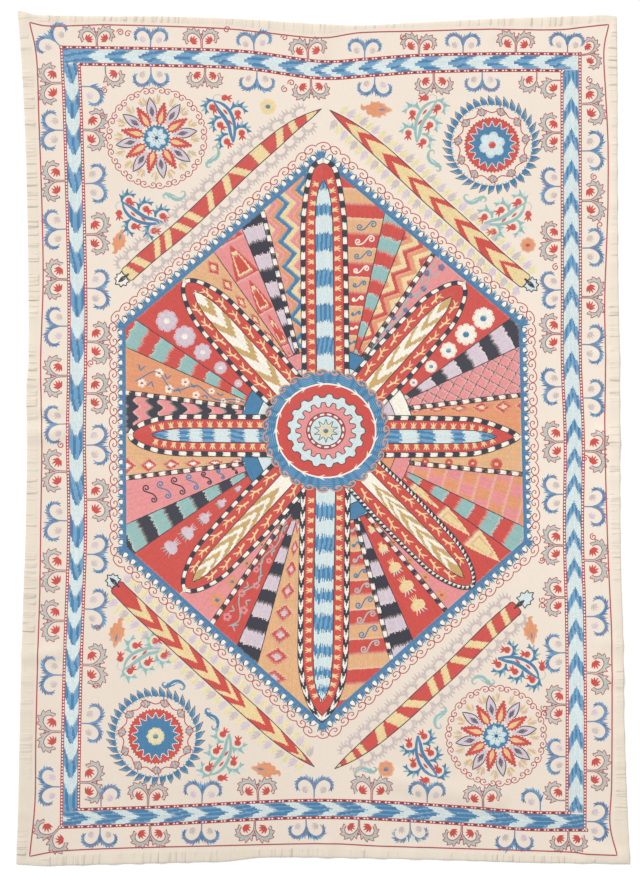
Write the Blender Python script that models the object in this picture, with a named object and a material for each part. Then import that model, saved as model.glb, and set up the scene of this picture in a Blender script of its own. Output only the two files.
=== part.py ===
"""A suzani: one hemmed silk cloth, lying face up on a flat surface.

Metres, +Z up. +X runs across the cloth and +Y along it, to its top edge.
The origin is on the surface, under the middle of the cloth's box.
The embroidery has drawn the cloth in, so its edges bow and its margin puckers.
"""

import math

import bmesh
import bpy

MM = 0.001

# Driving dimensions of the cloth
CLOTH_WIDTH = 1503 * MM
CLOTH_LENGTH = 2095 * MM
CLOTH_THICKNESS = 2 * MM

# Mesh: square cells inside, halved twice along the edge, where the puckers are
CELLS_ACROSS = 24
CELLS_ALONG = 34
EDGE_HALVINGS = 2

# Corners, as how far each stands in from the cloth's box: (across, along), mm
CORNER_INSETS = {
    "bottom_left": (0, 4),
    "bottom_right": (0, 5),
    "top_left": (3, 0),
    "top_right": (33, 14),
}

# Each edge, from corner to corner: (place from the middle, how far in from the box), mm
BOTTOM_EDGE = (
    (-692, 0),
    (-592, 2),
    (-302, 9),
    (-230, 11),
    (-170, 19),
    (-86, 21),
    (142, 18),
    (343, 13),
    (492, 8),
    (642, 6),
)
TOP_EDGE = (
    (-701, 11),
    (-647, 13),
    (-534, 15),
    (-392, 15),
    (-191, 22),
    (-8, 34),
    (93, 37),
    (218, 31),
    (392, 22),
    (593, 15),
    (693, 12),
)
LEFT_EDGE = (
    (-894, 5),
    (-745, 8),
    (-531, 13),
    (-380, 18),
    (-230, 23),
    (7, 27),
    (118, 25),
    (184, 30),
    (383, 30),
    (573, 27),
    (723, 23),
    (924, 13),
)
RIGHT_EDGE = (
    (-894, 7),
    (-695, 14),
    (-480, 17),
    (-331, 22),
    (-180, 24),
    (184, 25),
    (383, 29),
    (674, 31),
    (873, 31),
)

# The margin's puckers: even waves that run in from the edge and fade out
PUCKER_HEIGHT = 2.5 * MM
PUCKER_PITCH = 68 * MM
PUCKER_DRIFT_PITCH = 410 * MM
PUCKER_DRIFT = 1.3
PUCKER_STRENGTH_PITCH = 630 * MM
PUCKER_LEAST_STRENGTH = 0.2
PUCKER_REACH = 62 * MM

# Soft folds: (start across, start along, end across, end along, width, height), mm
FOLDS = (
    (-742, 8, -622, 17, 70, 6),
    (-742, 76, -640, 66, 60, 4),
    (-752, -536, -640, -524, 55, 5),
    (-748, -345, -655, -338, 50, 3),
    (654, -577, 752, -594, 60, 5),
    (676, -494, 748, -512, 50, 3),
    (668, 16, 740, -18, 60, 5),
    (662, 204, 738, 190, 50, 3),
    (-10, 1020, -2, 930, 50, 3),
    (8, -1040, 12, -985, 50, 3),
    (132, -830, 440, -892, 80, 6),
    (640, -1012, 752, -1028, 60, 4),
    (-560, 1045, -520, 985, 55, 3),
    (390, 1030, 430, 975, 55, 3),
)


def clear_scene():
    for old in list(bpy.data.objects):
        bpy.data.objects.remove(old, do_unlink=True)


def smooth(t):
    """0 to 1 as t goes from 0 to 1, with no sudden change of slope."""
    t = min(1.0, max(0.0, t))
    return t * t * (3 - 2 * t)


def slope_at(rows, row):
    """The slope of a smooth line at one of its rows, from the rows on both sides."""
    first = rows[max(row - 1, 0)]
    last = rows[min(row + 1, len(rows) - 1)]
    return (last[1] - first[1]) / (last[0] - first[0])


def read_edge(rows, place):
    """How far the edge is from the box at this place, on a smooth line through the rows."""
    row = 0
    while row < len(rows) - 2 and place > rows[row + 1][0]:
        row += 1
    start, before = rows[row]
    end, after = rows[row + 1]
    gap = end - start
    t = min(1.0, max(0.0, (place - start) / gap))
    step = smooth(t)
    leaving = slope_at(rows, row) * gap * t * (1 - t) ** 2
    arriving = slope_at(rows, row + 1) * gap * t * t * (t - 1)
    return before + (after - before) * step + leaving + arriving


def edge_rows(first, edge, last):
    """An edge's rows in metres, with the two corners that it runs between."""
    rows = [first, *edge, last]
    return [(place * MM, inset * MM) for place, inset in rows]


def corner_points():
    points = {}
    for name, (across, along) in CORNER_INSETS.items():
        side_x = -1 if name.endswith("left") else 1
        side_y = -1 if name.startswith("bottom") else 1
        x = side_x * (CLOTH_WIDTH / 2 - across * MM)
        y = side_y * (CLOTH_LENGTH / 2 - along * MM)
        points[name] = (x, y)
    return points


CORNERS = corner_points()


def between(edge, first, last, axis):
    """The rows of the edge that joins two corners. axis is 0 across the cloth, or 1 along it."""
    ends = []
    for name in (first, last):
        ends.append((CORNERS[name][axis] / MM, CORNER_INSETS[name][1 - axis]))
    return edge_rows(ends[0], edge, ends[1])


BOTTOM = between(BOTTOM_EDGE, "bottom_left", "bottom_right", 0)
TOP = between(TOP_EDGE, "top_left", "top_right", 0)
LEFT = between(LEFT_EDGE, "bottom_left", "top_left", 1)
RIGHT = between(RIGHT_EDGE, "bottom_right", "top_right", 1)


def mix(first, last, t):
    return first + (last - first) * t


def on_cloth(u, v):
    """The place of the point that is u across and v along the cloth, each from 0 to 1."""
    bottom_x = mix(CORNERS["bottom_left"][0], CORNERS["bottom_right"][0], u)
    top_x = mix(CORNERS["top_left"][0], CORNERS["top_right"][0], u)
    left_y = mix(CORNERS["bottom_left"][1], CORNERS["top_left"][1], v)
    right_y = mix(CORNERS["bottom_right"][1], CORNERS["top_right"][1], v)
    bottom = (bottom_x, -CLOTH_LENGTH / 2 + read_edge(BOTTOM, bottom_x))
    top = (top_x, CLOTH_LENGTH / 2 - read_edge(TOP, top_x))
    left = (-CLOTH_WIDTH / 2 + read_edge(LEFT, left_y), left_y)
    right = (CLOTH_WIDTH / 2 - read_edge(RIGHT, right_y), right_y)
    place = []
    for axis in (0, 1):
        low = mix(CORNERS["bottom_left"][axis], CORNERS["bottom_right"][axis], u)
        high = mix(CORNERS["top_left"][axis], CORNERS["top_right"][axis], u)
        from_ends = mix(bottom[axis], top[axis], v)
        from_sides = mix(left[axis], right[axis], u)
        place.append(from_ends + from_sides - mix(low, high, v))
    return place


def pucker_height(along_edge, from_edge):
    """The margin's waves, whose pitch and strength wander along the edge."""
    turn = 2 * math.pi * along_edge
    drift = PUCKER_DRIFT * math.sin(turn / PUCKER_DRIFT_PITCH)
    wave = max(0.0, math.sin(turn / PUCKER_PITCH + drift))
    swell = 0.5 + 0.5 * math.sin(turn / PUCKER_STRENGTH_PITCH)
    strength = mix(PUCKER_LEAST_STRENGTH, 1, swell)
    fade = 1 - smooth(from_edge / PUCKER_REACH)
    return PUCKER_HEIGHT * wave * strength * fade


def fold_height(x, y):
    """The highest of the soft folds at this place. Each is a round ridge that fades at its ends."""
    highest = 0.0
    for row in FOLDS:
        x0, y0, x1, y1, width, height = (value * MM for value in row)
        length = math.hypot(x1 - x0, y1 - y0)
        along = ((x - x0) * (x1 - x0) + (y - y0) * (y1 - y0)) / length
        across = abs((x - x0) * (y1 - y0) - (y - y0) * (x1 - x0)) / length
        ends = smooth((along + width / 4) / (width / 2)) * smooth(
            (length + width / 4 - along) / (width / 2)
        )
        highest = max(highest, height * ends * smooth(1 - across / (width / 2)))
    return highest


def lift(u, v):
    """How high the cloth's underside is off the surface."""
    x, y = on_cloth(u, v)
    side_gap = min(u, 1 - u) * CLOTH_WIDTH
    end_gap = min(v, 1 - v) * CLOTH_LENGTH
    on_side = pucker_height(y + round(u) * CLOTH_LENGTH, side_gap)
    on_end = pucker_height(x + round(v) * CLOTH_WIDTH, end_gap)
    return max(on_side, on_end, fold_height(x, y))


def halve_edge_cells(bm, margin):
    """Halves the cells whose middle is nearer the edge than margin, in the first grid's cells."""
    near = set()
    for face in bm.faces:
        middle = face.calc_center_median()
        gap_x = (0.5 - abs(middle.x)) * CELLS_ACROSS
        gap_y = (0.5 - abs(middle.y)) * CELLS_ALONG
        if min(gap_x, gap_y) < margin:
            near.update(face.edges)
    bmesh.ops.subdivide_edges(bm, edges=list(near), cuts=1, use_grid_fill=True)


def flat_grid():
    """A grid of unit size, whose outer cells are halved, and their outer half once more."""
    bm = bmesh.new()
    bmesh.ops.create_grid(bm, x_segments=CELLS_ACROSS, y_segments=CELLS_ALONG, size=0.5)
    margin = 1.0
    for _ in range(EDGE_HALVINGS):
        halve_edge_cells(bm, margin)
        margin /= 2
    return bm


def silk_material():
    material = bpy.data.materials.new("cream_silk")
    material.use_nodes = True
    shader = material.node_tree.nodes["Principled BSDF"]
    shader.inputs["Base Color"].default_value = (0.88, 0.79, 0.64, 1)
    shader.inputs["Roughness"].default_value = 0.6
    shader.inputs["Metallic"].default_value = 0
    return material


def make_ground_cloth():
    """The hemmed cloth, one closed sheet whose underside lies on the surface."""
    bm = flat_grid()
    for point in bm.verts:
        u = point.co.x + 0.5
        v = point.co.y + 0.5
        x, y = on_cloth(u, v)
        point.co = (x, y, lift(u, v))
    mesh = bpy.data.meshes.new("ground_cloth")
    bm.to_mesh(mesh)
    bm.free()
    mesh.materials.append(silk_material())
    mesh.shade_smooth()
    cloth = bpy.data.objects.new("ground_cloth", mesh)
    bpy.context.scene.collection.objects.link(cloth)
    solidify = cloth.modifiers.new("thickness", "SOLIDIFY")
    solidify.thickness = CLOTH_THICKNESS
    solidify.offset = 1
    return cloth


clear_scene()
make_ground_cloth()
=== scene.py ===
import math

import bpy
import numpy as np
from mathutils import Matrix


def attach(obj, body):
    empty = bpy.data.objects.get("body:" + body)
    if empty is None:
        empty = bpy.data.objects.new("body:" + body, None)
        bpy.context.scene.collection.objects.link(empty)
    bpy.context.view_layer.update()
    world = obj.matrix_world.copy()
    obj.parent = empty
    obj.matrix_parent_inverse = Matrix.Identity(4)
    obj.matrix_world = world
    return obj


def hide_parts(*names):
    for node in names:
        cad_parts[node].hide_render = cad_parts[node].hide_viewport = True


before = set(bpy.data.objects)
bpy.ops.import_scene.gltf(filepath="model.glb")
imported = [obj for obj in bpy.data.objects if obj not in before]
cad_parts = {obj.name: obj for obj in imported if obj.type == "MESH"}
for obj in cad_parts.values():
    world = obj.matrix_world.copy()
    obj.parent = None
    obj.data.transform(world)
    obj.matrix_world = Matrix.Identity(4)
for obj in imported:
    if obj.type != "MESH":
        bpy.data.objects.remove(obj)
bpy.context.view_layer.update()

# Plan sizes are millimetres from the middle of the cloth: +X across it, +Y to its top edge
MM = 0.001
CHANCE = np.random.default_rng(7)

# The cloth's outline and folds, as on the solid: corners, then rows for each edge of
# (place along it, how far in from the cloth's box)
CLOTH_WIDTH = 1503
CLOTH_LENGTH = 2095
CLOTH_THICKNESS = 2
CORNER_BL = (-751.5, -1043.5)
CORNER_BR = (751.5, -1042.5)
CORNER_TL = (-748.5, 1047.5)
CORNER_TR = (718.5, 1033.5)
BOTTOM = (
    (-751.5, 4), (-692, 0), (-592, 2), (-302, 9), (-230, 11), (-170, 19), (-86, 21), (142, 18), (343, 13),
    (492, 8), (642, 6), (751.5, 5),
)
TOP = (
    (-748.5, 0), (-701, 11), (-647, 13), (-534, 15), (-392, 15), (-191, 22), (-8, 34), (93, 37), (218, 31),
    (392, 22), (593, 15), (693, 12), (718.5, 14),
)
LEFT = (
    (-1043.5, 0), (-894, 5), (-745, 8), (-531, 13), (-380, 18), (-230, 23), (7, 27), (118, 25), (184, 30),
    (383, 30), (573, 27), (723, 23), (924, 13), (1047.5, 3),
)
RIGHT = (
    (-1042.5, 0), (-894, 7), (-695, 14), (-480, 17), (-331, 22), (-180, 24), (184, 25), (383, 29), (674, 31),
    (873, 31), (1033.5, 33),
)
PUCKER_HEIGHT = 2.5
PUCKER_PITCH = 68
PUCKER_DRIFT_PITCH = 410
PUCKER_DRIFT = 1.3
PUCKER_STRENGTH_PITCH = 630
PUCKER_LEAST_STRENGTH = 0.2
PUCKER_REACH = 62
# Start across and along, end across and along, width, height
FOLDS = (
    (-742, 8, -622, 17, 70, 6), (-742, 76, -640, 66, 60, 4), (-752, -536, -640, -524, 55, 5),
    (-748, -345, -655, -338, 50, 3), (654, -577, 752, -594, 60, 5), (676, -494, 748, -512, 50, 3),
    (668, 16, 740, -18, 60, 5), (662, 204, 738, 190, 50, 3), (-10, 1020, -2, 930, 50, 3),
    (8, -1040, 12, -985, 50, 3), (132, -830, 440, -892, 80, 6), (640, -1012, 752, -1028, 60, 4),
    (-560, 1045, -520, 985, 55, 3), (390, 1030, 430, 975, 55, 3),
)

# Heights on top of the cloth: a stitch's ridge, and the step from one layer of stitches to the next
RIDGE = 0.36
LAYER = 0.35
SUNK = 0.05

# Widths of a line of stem stitch, and of threads laid side by side in a leaf and in a field
LINE_WIDTH = 2.6
ROW_PITCH = 2.4
# Colours are read this often along a thread, and a couched length is this long or a little more
READING_STEP = 1.6
COUCHED = (26, 60)
COUCHED_REST = 14
BEND_STEP = 11
FULLNESS = (1.14, 1.24)

# Thread colours, as they look in soft light
THREADS = {
    "red": "#CB4B43",
    "rust": "#B0444A",
    "blue": "#447CA4",
    "sky": "#6A9EC2",
    "slate": "#7486A8",
    "pale_blue": "#D2E0DF",
    "teal": "#92B8B4",
    "grey_green": "#B4BDB6",
    "black": "#33323F",
    "yellow": "#E8D09A",
    "straw": "#E6D9AC",
    "orange": "#DE966C",
    "tan": "#DFAE80",
    "ochre": "#C9A66B",
    "pink": "#E28F8E",
    "mauve": "#D3C3CC",
    "fawn": "#CBBDB8",
    "white": "#F2ECDD",
}
SILK = "#ECDECE"
FACING = "#E9DCCA"
NAMES = list(THREADS)
CODES = {name: place for place, name in enumerate(NAMES)}
NOTHING = -1


def smooth(t):
    """0 to 1 as t goes from 0 to 1, with no sudden change of slope."""
    t = np.clip(t, 0, 1)
    return t * t * (3 - 2 * t)


def mix(first, last, t):
    return first + (last - first) * t


def as_points(x, y):
    """Points from their x and y, or one point from two numbers."""
    return np.stack([x, y], axis=-1)


def closed(points):
    """The points with the first one again at the end."""
    return np.vstack([points, points[:1]])


def read_rows(rows, places):
    """A smooth line through rows of (place, value), read at these places."""
    at, value = np.array(rows, float).T
    row = np.clip(np.searchsorted(at, places) - 1, 0, len(at) - 2)
    before = np.maximum(np.arange(len(at)) - 1, 0)
    after = np.minimum(np.arange(len(at)) + 1, len(at) - 1)
    slope = (value[after] - value[before]) / (at[after] - at[before])
    gap = at[row + 1] - at[row]
    t = np.clip((places - at[row]) / gap, 0, 1)
    leaving = slope[row] * gap * t * (1 - t) ** 2
    arriving = slope[row + 1] * gap * t * t * (t - 1)
    return mix(value[row], value[row + 1], smooth(t)) + leaving + arriving


def on_cloth(u, v):
    """The places of the points that are u across and v along the cloth, each from 0 to 1."""
    bottom_x = mix(CORNER_BL[0], CORNER_BR[0], u)
    top_x = mix(CORNER_TL[0], CORNER_TR[0], u)
    left_y = mix(CORNER_BL[1], CORNER_TL[1], v)
    right_y = mix(CORNER_BR[1], CORNER_TR[1], v)
    bottom = (bottom_x, -CLOTH_LENGTH / 2 + read_rows(BOTTOM, bottom_x))
    top = (top_x, CLOTH_LENGTH / 2 - read_rows(TOP, top_x))
    left = (-CLOTH_WIDTH / 2 + read_rows(LEFT, left_y), left_y)
    right = (CLOTH_WIDTH / 2 - read_rows(RIGHT, right_y), right_y)
    place = []
    for axis in (0, 1):
        low = mix(CORNER_BL[axis], CORNER_BR[axis], u)
        high = mix(CORNER_TL[axis], CORNER_TR[axis], u)
        ends = mix(bottom[axis], top[axis], v)
        sides = mix(left[axis], right[axis], u)
        place.append(ends + sides - mix(low, high, v))
    return place


def pucker_height(along_edge, from_edge):
    """The margin's waves, whose pitch and strength wander along the edge."""
    turn = 2 * math.pi * along_edge
    drift = PUCKER_DRIFT * np.sin(turn / PUCKER_DRIFT_PITCH)
    wave = np.maximum(0, np.sin(turn / PUCKER_PITCH + drift))
    swell = 0.5 + 0.5 * np.sin(turn / PUCKER_STRENGTH_PITCH)
    fade = 1 - smooth(from_edge / PUCKER_REACH)
    return PUCKER_HEIGHT * wave * mix(PUCKER_LEAST_STRENGTH, 1, swell) * fade


def fold_height(x, y):
    """The highest of the soft folds at these places. Each is a round ridge that fades at its ends."""
    highest = np.zeros_like(x)
    for x0, y0, x1, y1, width, height in FOLDS:
        length = math.hypot(x1 - x0, y1 - y0)
        along = ((x - x0) * (x1 - x0) + (y - y0) * (y1 - y0)) / length
        across = np.abs((x - x0) * (y1 - y0) - (y - y0) * (x1 - x0)) / length
        start = smooth((along + width / 4) / (width / 2))
        end = smooth((length + width / 4 - along) / (width / 2))
        highest = np.maximum(highest, height * start * end * smooth(1 - across / (width / 2)))
    return highest


def lift(u, v):
    """How high the cloth's underside is off the surface."""
    x, y = on_cloth(u, v)
    on_side = pucker_height(y + np.round(u) * CLOTH_LENGTH, np.minimum(u, 1 - u) * CLOTH_WIDTH)
    on_end = pucker_height(x + np.round(v) * CLOTH_WIDTH, np.minimum(v, 1 - v) * CLOTH_LENGTH)
    return np.maximum(np.maximum(on_side, on_end), fold_height(x, y))


def places_on_cloth(x, y):
    """The u and v of these places, found by closing in on them."""
    u = x / CLOTH_WIDTH + 0.5
    v = y / CLOTH_LENGTH + 0.5
    for _ in range(4):
        near_x, near_y = on_cloth(u, v)
        u = np.clip(u + (x - near_x) / CLOTH_WIDTH, 0, 1)
        v = np.clip(v + (y - near_y) / CLOTH_LENGTH, 0, 1)
    return u, v


def spaced(length):
    """Places along a side: close together near its ends, where the cloth puckers, and wider inside."""
    near = [0, 1.5, *range(4, 60, 4), *range(60, 150, 6)]
    inner = np.linspace(150, length - 150, round((length - 300) / 11) + 1)
    far = [length - place for place in near[::-1]]
    return np.concatenate([near, inner, far]) / length


GRID_U = spaced(CLOTH_WIDTH)
GRID_V = spaced(CLOTH_LENGTH)
GRID_LIFT = lift(*np.meshgrid(GRID_U, GRID_V, indexing="ij"))


def in_grid(lines, place):
    """The cell of a place between these grid lines, and how far through it the place is."""
    cell = np.clip(np.searchsorted(lines, place) - 1, 0, len(lines) - 2)
    return cell, (place - lines[cell]) / (lines[cell + 1] - lines[cell])


def cloth_top(x, y):
    """The height of the cloth's face, on the cells of its mesh, so that no stitch sinks into it."""
    u, v = places_on_cloth(x, y)
    column, across = in_grid(GRID_U, u)
    row, along = in_grid(GRID_V, v)
    low = mix(GRID_LIFT[column, row], GRID_LIFT[column + 1, row], across)
    high = mix(GRID_LIFT[column, row + 1], GRID_LIFT[column + 1, row + 1], across)
    return mix(low, high, along) + CLOTH_THICKNESS


# The stitches laid so far, by thread
laid = {name: [] for name in NAMES}


def lay(thread, points, half_width, level=0):
    """One stitch, or one run of thread, along these points."""
    points = np.asarray(points, float)
    laid[thread].append((points, np.broadcast_to(half_width, len(points)), level))


def smooth_path(points, step=4, is_closed=False):
    """A smooth line through the points, as points about step apart."""
    points = np.asarray(points, float)
    if is_closed:
        ring = np.vstack([points[-1], points, points[0], points[1]])
    else:
        ring = np.vstack([2 * points[0] - points[1], points, 2 * points[-1] - points[-2]])
    pieces = []
    for k in range(1, len(ring) - 2):
        a, b, c, d = ring[k - 1 : k + 3]
        count = max(2, math.ceil(math.dist(b, c) / step))
        t = np.arange(count)[:, None] / count
        bend = 2 * b + (c - a) * t + (2 * a - 5 * b + 4 * c - d) * t**2
        pieces.append(0.5 * (bend + (3 * b - a - 3 * c + d) * t**3))
    return np.vstack([*pieces, ring[-2]])


def lengths(path):
    return np.concatenate([[0], np.cumsum(np.hypot(*np.diff(path, axis=0).T))])


def beside(path):
    """A function of s along the path and t to its left that gives the points there, and the length."""
    along = lengths(path)
    slope = np.gradient(path, axis=0)
    slope /= np.maximum(np.hypot(*slope.T), 1e-9)[:, None]

    def place(s, t):
        x, y, slope_x, slope_y = [np.interp(s, along, values) for values in (*path.T, *slope.T)]
        beyond = s - np.clip(s, 0, along[-1])
        return as_points(x + slope_x * beyond - slope_y * t, y + slope_y * beyond + slope_x * t)

    return place, along[-1]


def line(thread, points, width=LINE_WIDTH, level=0, step=5, is_closed=False, ends=0.5):
    """A line of stem stitch along a smooth path."""
    path = smooth_path(points, step, is_closed)
    half = np.full(len(path), width / 2)
    if not is_closed:
        half[[0, -1]] *= ends
    lay(thread, path, half, level)


def stroke(thread, points, widths, level=0, step=5):
    """A tapered leaf or petal of one thread colour: its widths are spread evenly along it."""
    path = smooth_path(points, step)
    at = lengths(path)
    width = np.interp(at / at[-1], np.linspace(0, 1, len(widths)), widths)
    count = max(1, round(width.max() / LINE_WIDTH))
    if count == 1:
        lay(thread, path, np.maximum(width / 2, 0.3), level)
        return
    place, _ = beside(path)
    for row in range(count):
        side = (row + 0.5) / count * 2 - 1
        lay(thread, place(at, side * width / 2), np.maximum(width / count / 2 * 1.1, 0.25), level)


def rows(place, length, low, high, colour_of, inside=None, jag=0, level=0, pitch=ROW_PITCH):
    """Threads laid side by side, each from one change of colour to the next.

    place(s, t) gives the point s along and t across, and colour_of(s, t) its thread's code.
    inside(x, y) is true where there is a stitch, and jag is how far rows' ends stray."""
    count = max(1, round((high - low) / pitch))
    wide = (high - low) / count
    along = np.linspace(0, length, max(2, math.ceil(length / READING_STEP)))
    gap = along[1] - along[0]
    for row in range(count):
        t = low + (row + 0.5) * wide
        own = CHANCE.uniform(-jag, jag)
        codes = colour_of(along + own, np.full_like(along, t))
        if inside is not None:
            codes = np.where(inside(*place(along, t).T), codes, NOTHING)
        changes = [0, *(np.flatnonzero(np.diff(codes)) + 1), len(codes)]
        for start, end in zip(changes, changes[1:]):
            if codes[start] != NOTHING:
                first = along[start] - gap / 2
                last = along[end - 1] + gap / 2
                lay_run(NAMES[codes[start]], place, first, last, t, wide / 2, level)


def lay_run(thread, place, first, last, t, half, level):
    """One run of thread from s = first to last, cut into couched lengths that differ a little."""
    while last - first > READING_STEP / 2:
        reach = CHANCE.uniform(*COUCHED)
        end = last if last - first < reach + COUCHED_REST else first + reach
        count = max(2, math.ceil((end - first) / BEND_STEP) + 1)
        width = np.full(count, half * CHANCE.uniform(*FULLNESS))
        if end == last:
            width[-1] *= 0.6
        lay(thread, place(np.linspace(first, end, count), t), width, level)
        first = end


def in_polygon(polygon):
    """A function that is true for places inside the polygon."""
    corners = np.asarray(polygon, float)

    def inside(x, y):
        within = np.zeros(np.shape(x), bool)
        for (x0, y0), (x1, y1) in zip(corners, np.roll(corners, -1, axis=0)):
            if y0 != y1:
                crosses = (y0 > y) != (y1 > y)
                within ^= crosses & (x < x0 + (y - y0) * (x1 - x0) / (y1 - y0))
        return within

    return inside


def fill(polygon, angle, colour_of, inside=None, jag=0, level=0, origin=None, pitch=ROW_PITCH):
    """A polygon of laid threads that run at this angle in degrees.

    colour_of(s, t) is read along and across the threads, from origin or the polygon's middle."""
    corners = np.asarray(polygon, float)
    middle = corners.mean(axis=0) if origin is None else np.asarray(origin, float)
    turn = math.radians(angle)
    along = np.array([math.cos(turn), math.sin(turn)])
    across = np.array([-along[1], along[0]])
    s = (corners - middle) @ along
    t = (corners - middle) @ across
    start = s.min()
    polygon_inside = in_polygon(corners)

    def place(a, b):
        a = a + start
        return as_points(middle[0] + a * along[0] + b * across[0], middle[1] + a * along[1] + b * across[1])

    def within(x, y):
        kept = polygon_inside(x, y)
        return kept if inside is None else kept & inside(x, y)

    def coloured(a, b):
        return colour_of(a + start, b)

    rows(place, s.max() - start, t.min(), t.max(), coloured, within, jag, level, pitch)


def plain(thread):
    """A field of one thread."""
    return lambda s, t: np.full(np.shape(s), CODES[thread])


def put(points, at, turn=0, size=1, flip=False):
    """Points of a motif, moved from its own plan to its place: sized, flipped, turned, then set down."""
    x, y = (np.asarray(points, float) * size * (-1 if flip else 1, 1)).T
    angle = math.radians(turn)
    along = math.cos(angle)
    across = math.sin(angle)
    return as_points(x * along - y * across + at[0], x * across + y * along + at[1])


def around(centre, radius, degrees):
    """The point at this radius and angle round a centre."""
    angle = math.radians(degrees)
    return (centre[0] + radius * math.cos(angle), centre[1] + radius * math.sin(angle))


def arc(centre, radius, angles, squash=1):
    """Points round a centre at these angles in radians. Each may have its own radius."""
    return as_points(centre[0] + radius * np.cos(angles), centre[1] + radius * squash * np.sin(angles))


def ring_points(centre, radius, count, start=0, squash=1):
    return arc(centre, radius, math.radians(start) + np.arange(count) * 2 * math.pi / count, squash)


def star_points(centre, outer, inner, count, squash=1):
    """The corners of a star, from the top."""
    tips = ring_points(centre, outer, count, 90, squash)
    notches = ring_points(centre, inner, count, 90 + 180 / count, squash)
    return np.stack([tips, notches], axis=1).reshape(-1, 2)


def ring(centre, inner, outer, colour_of, squash=1, level=0):
    """Threads laid round a centre. colour_of is read along the middle of the ring."""
    middle = (inner + outer) / 2
    reach = (outer - inner) / 2

    def place(s, t):
        return arc(centre, middle + t, s / middle, squash)

    rows(place, 2 * math.pi * middle, -reach, reach, colour_of, None, 0, level)


def spiral(centre, radius, start, turns, count):
    """Points of a curl that winds in from its start angle. Turns above 0 wind to the left."""
    t = np.linspace(0, 1, count)
    return arc(centre, radius * mix(1, 0.2, t), math.radians(start) + t * turns * 2 * math.pi)


def dots(thread, points, width, length, level, turns):
    """Short single stitches centred on these points, each laid along its turn, in degrees."""
    for (x, y), turn in zip(points, turns):
        dx = math.cos(math.radians(turn)) * length / 2
        dy = math.sin(math.radians(turn)) * length / 2
        places = [(x - dx, y - dy), (x, y), (x + dx, y + dy)]
        lay(thread, places, np.array([0.55, 1, 0.55]) * width / 2, level)


def beads(points, first, second, width, level=2, gap=4.2):
    """A row of small dots along a line, two threads in turn."""
    place, length = beside(smooth_path(points, 4))
    count = max(2, round(length / gap))
    places = place((np.arange(count) + 0.5) * length / count, 0)
    x, y = places.T
    turned = np.degrees(np.arctan2(np.gradient(y), np.gradient(x)))
    dots(first, places[::2], width, gap * 0.8, level, turned[::2])
    dots(second, places[1::2], width, gap * 0.8, level, turned[1::2])


def petal(thread, root, tip, half, level=0, fullest=0.5):
    """A filled leaf, pointed at both ends, whose threads run from root to tip. Gives its two edges."""
    root = np.asarray(root, float)
    reach = np.asarray(tip, float) - root
    normal = np.array([-reach[1], reach[0]]) / math.hypot(*reach)
    t = np.linspace(0, 1, 7)
    swell = np.sin(np.interp(t, [0, fullest, 1], [0, 1, 0]) * math.pi / 2) * half
    left = root + reach * t[:, None] + normal * swell[:, None]
    right = root + reach * t[:, None] - normal * swell[:, None]
    angle = math.degrees(math.atan2(reach[1], reach[0]))
    fill(np.vstack([left, right[::-1]]), angle, plain(thread), level=level, pitch=2.2)
    return left, right


def bloom(centre, radius, petals, thread, eye, level=0, start=0):
    """A round flower with an eye."""
    for k in range(petals):
        angle = start + 360 / petals * k
        middle = around(centre, radius * 0.64, angle)
        fill(ring_points(middle, radius * 0.36, 8), angle, plain(thread), level=level)
    fill(ring_points(centre, radius * 0.55, 9), 90, plain(thread), level=level)
    fill(ring_points(centre, radius * 0.27, 8), 90, plain(eye), level=level + 1)


# The running line of stem stitch round the margin
LINE_LEFT = (
    (-1025, -719), (-894, -706), (-745, -704), (-529, -699), (-380, -694), (-230, -692), (-3, -689),
    (184, -692), (382, -686), (573, -689), (774, -696), (931, -702), (1018, -719),
)
LINE_RIGHT = (
    (-1022, 720), (-946, 703), (-845, 707), (-644, 708), (-495, 707), (-431, 705), (-279, 698),
    (-81, 692), (19, 690), (184, 692), (333, 690), (483, 695), (583, 698), (723, 698), (848, 692),
    (948, 688), (1013, 700),
)
LINE_TOP = (
    (-719, 1018), (-667, 1009), (-542, 1012), (-392, 1009), (-243, 1003), (-142, 993), (-7, 980),
    (93, 993), (242, 997), (392, 1001), (568, 1000), (642, 1007), (700, 1013),
)
LINE_BOTTOM = (
    (-719, -1025), (-642, -1012), (-493, -1005), (-292, -1000), (-7, -994), (142, -1000),
    (343, -1006), (593, -1014), (642, -1019), (720, -1022),
)


def stitch_margin_line():
    for edge in (LINE_LEFT, LINE_RIGHT):
        line("rust", [(x, y) for y, x in edge], 3, 1)
    for edge in (LINE_TOP, LINE_BOTTOM):
        line("rust", edge, 3, 1)


# The chevron band: its outer edges, clockwise from the top left, each from corner to corner
BAND_TOP = (
    (-642, 958), (-392, 954), (-191, 947), (-7, 923), (110, 929), (242, 938), (443, 942), (630, 941),
)
BAND_RIGHT = (
    (630, 941), (631, 385), (631, 184), (638, -3), (636, -230), (641, -429), (643, -644),
    (642, -958),
)
BAND_BOTTOM = ((642, -958), (492, -956), (343, -943), (-7, -927), (-392, -943), (-642, -951))
BAND_LEFT = (
    (-642, -951), (-639, -745), (-634, -529), (-624, -230), (-627, -3), (-624, 184), (-624, 385),
    (-634, 774), (-642, 958),
)
TRIM_WIDTH = 8
DOT_PITCH = 7.8
CHEVRON_SLANT = 32
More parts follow.
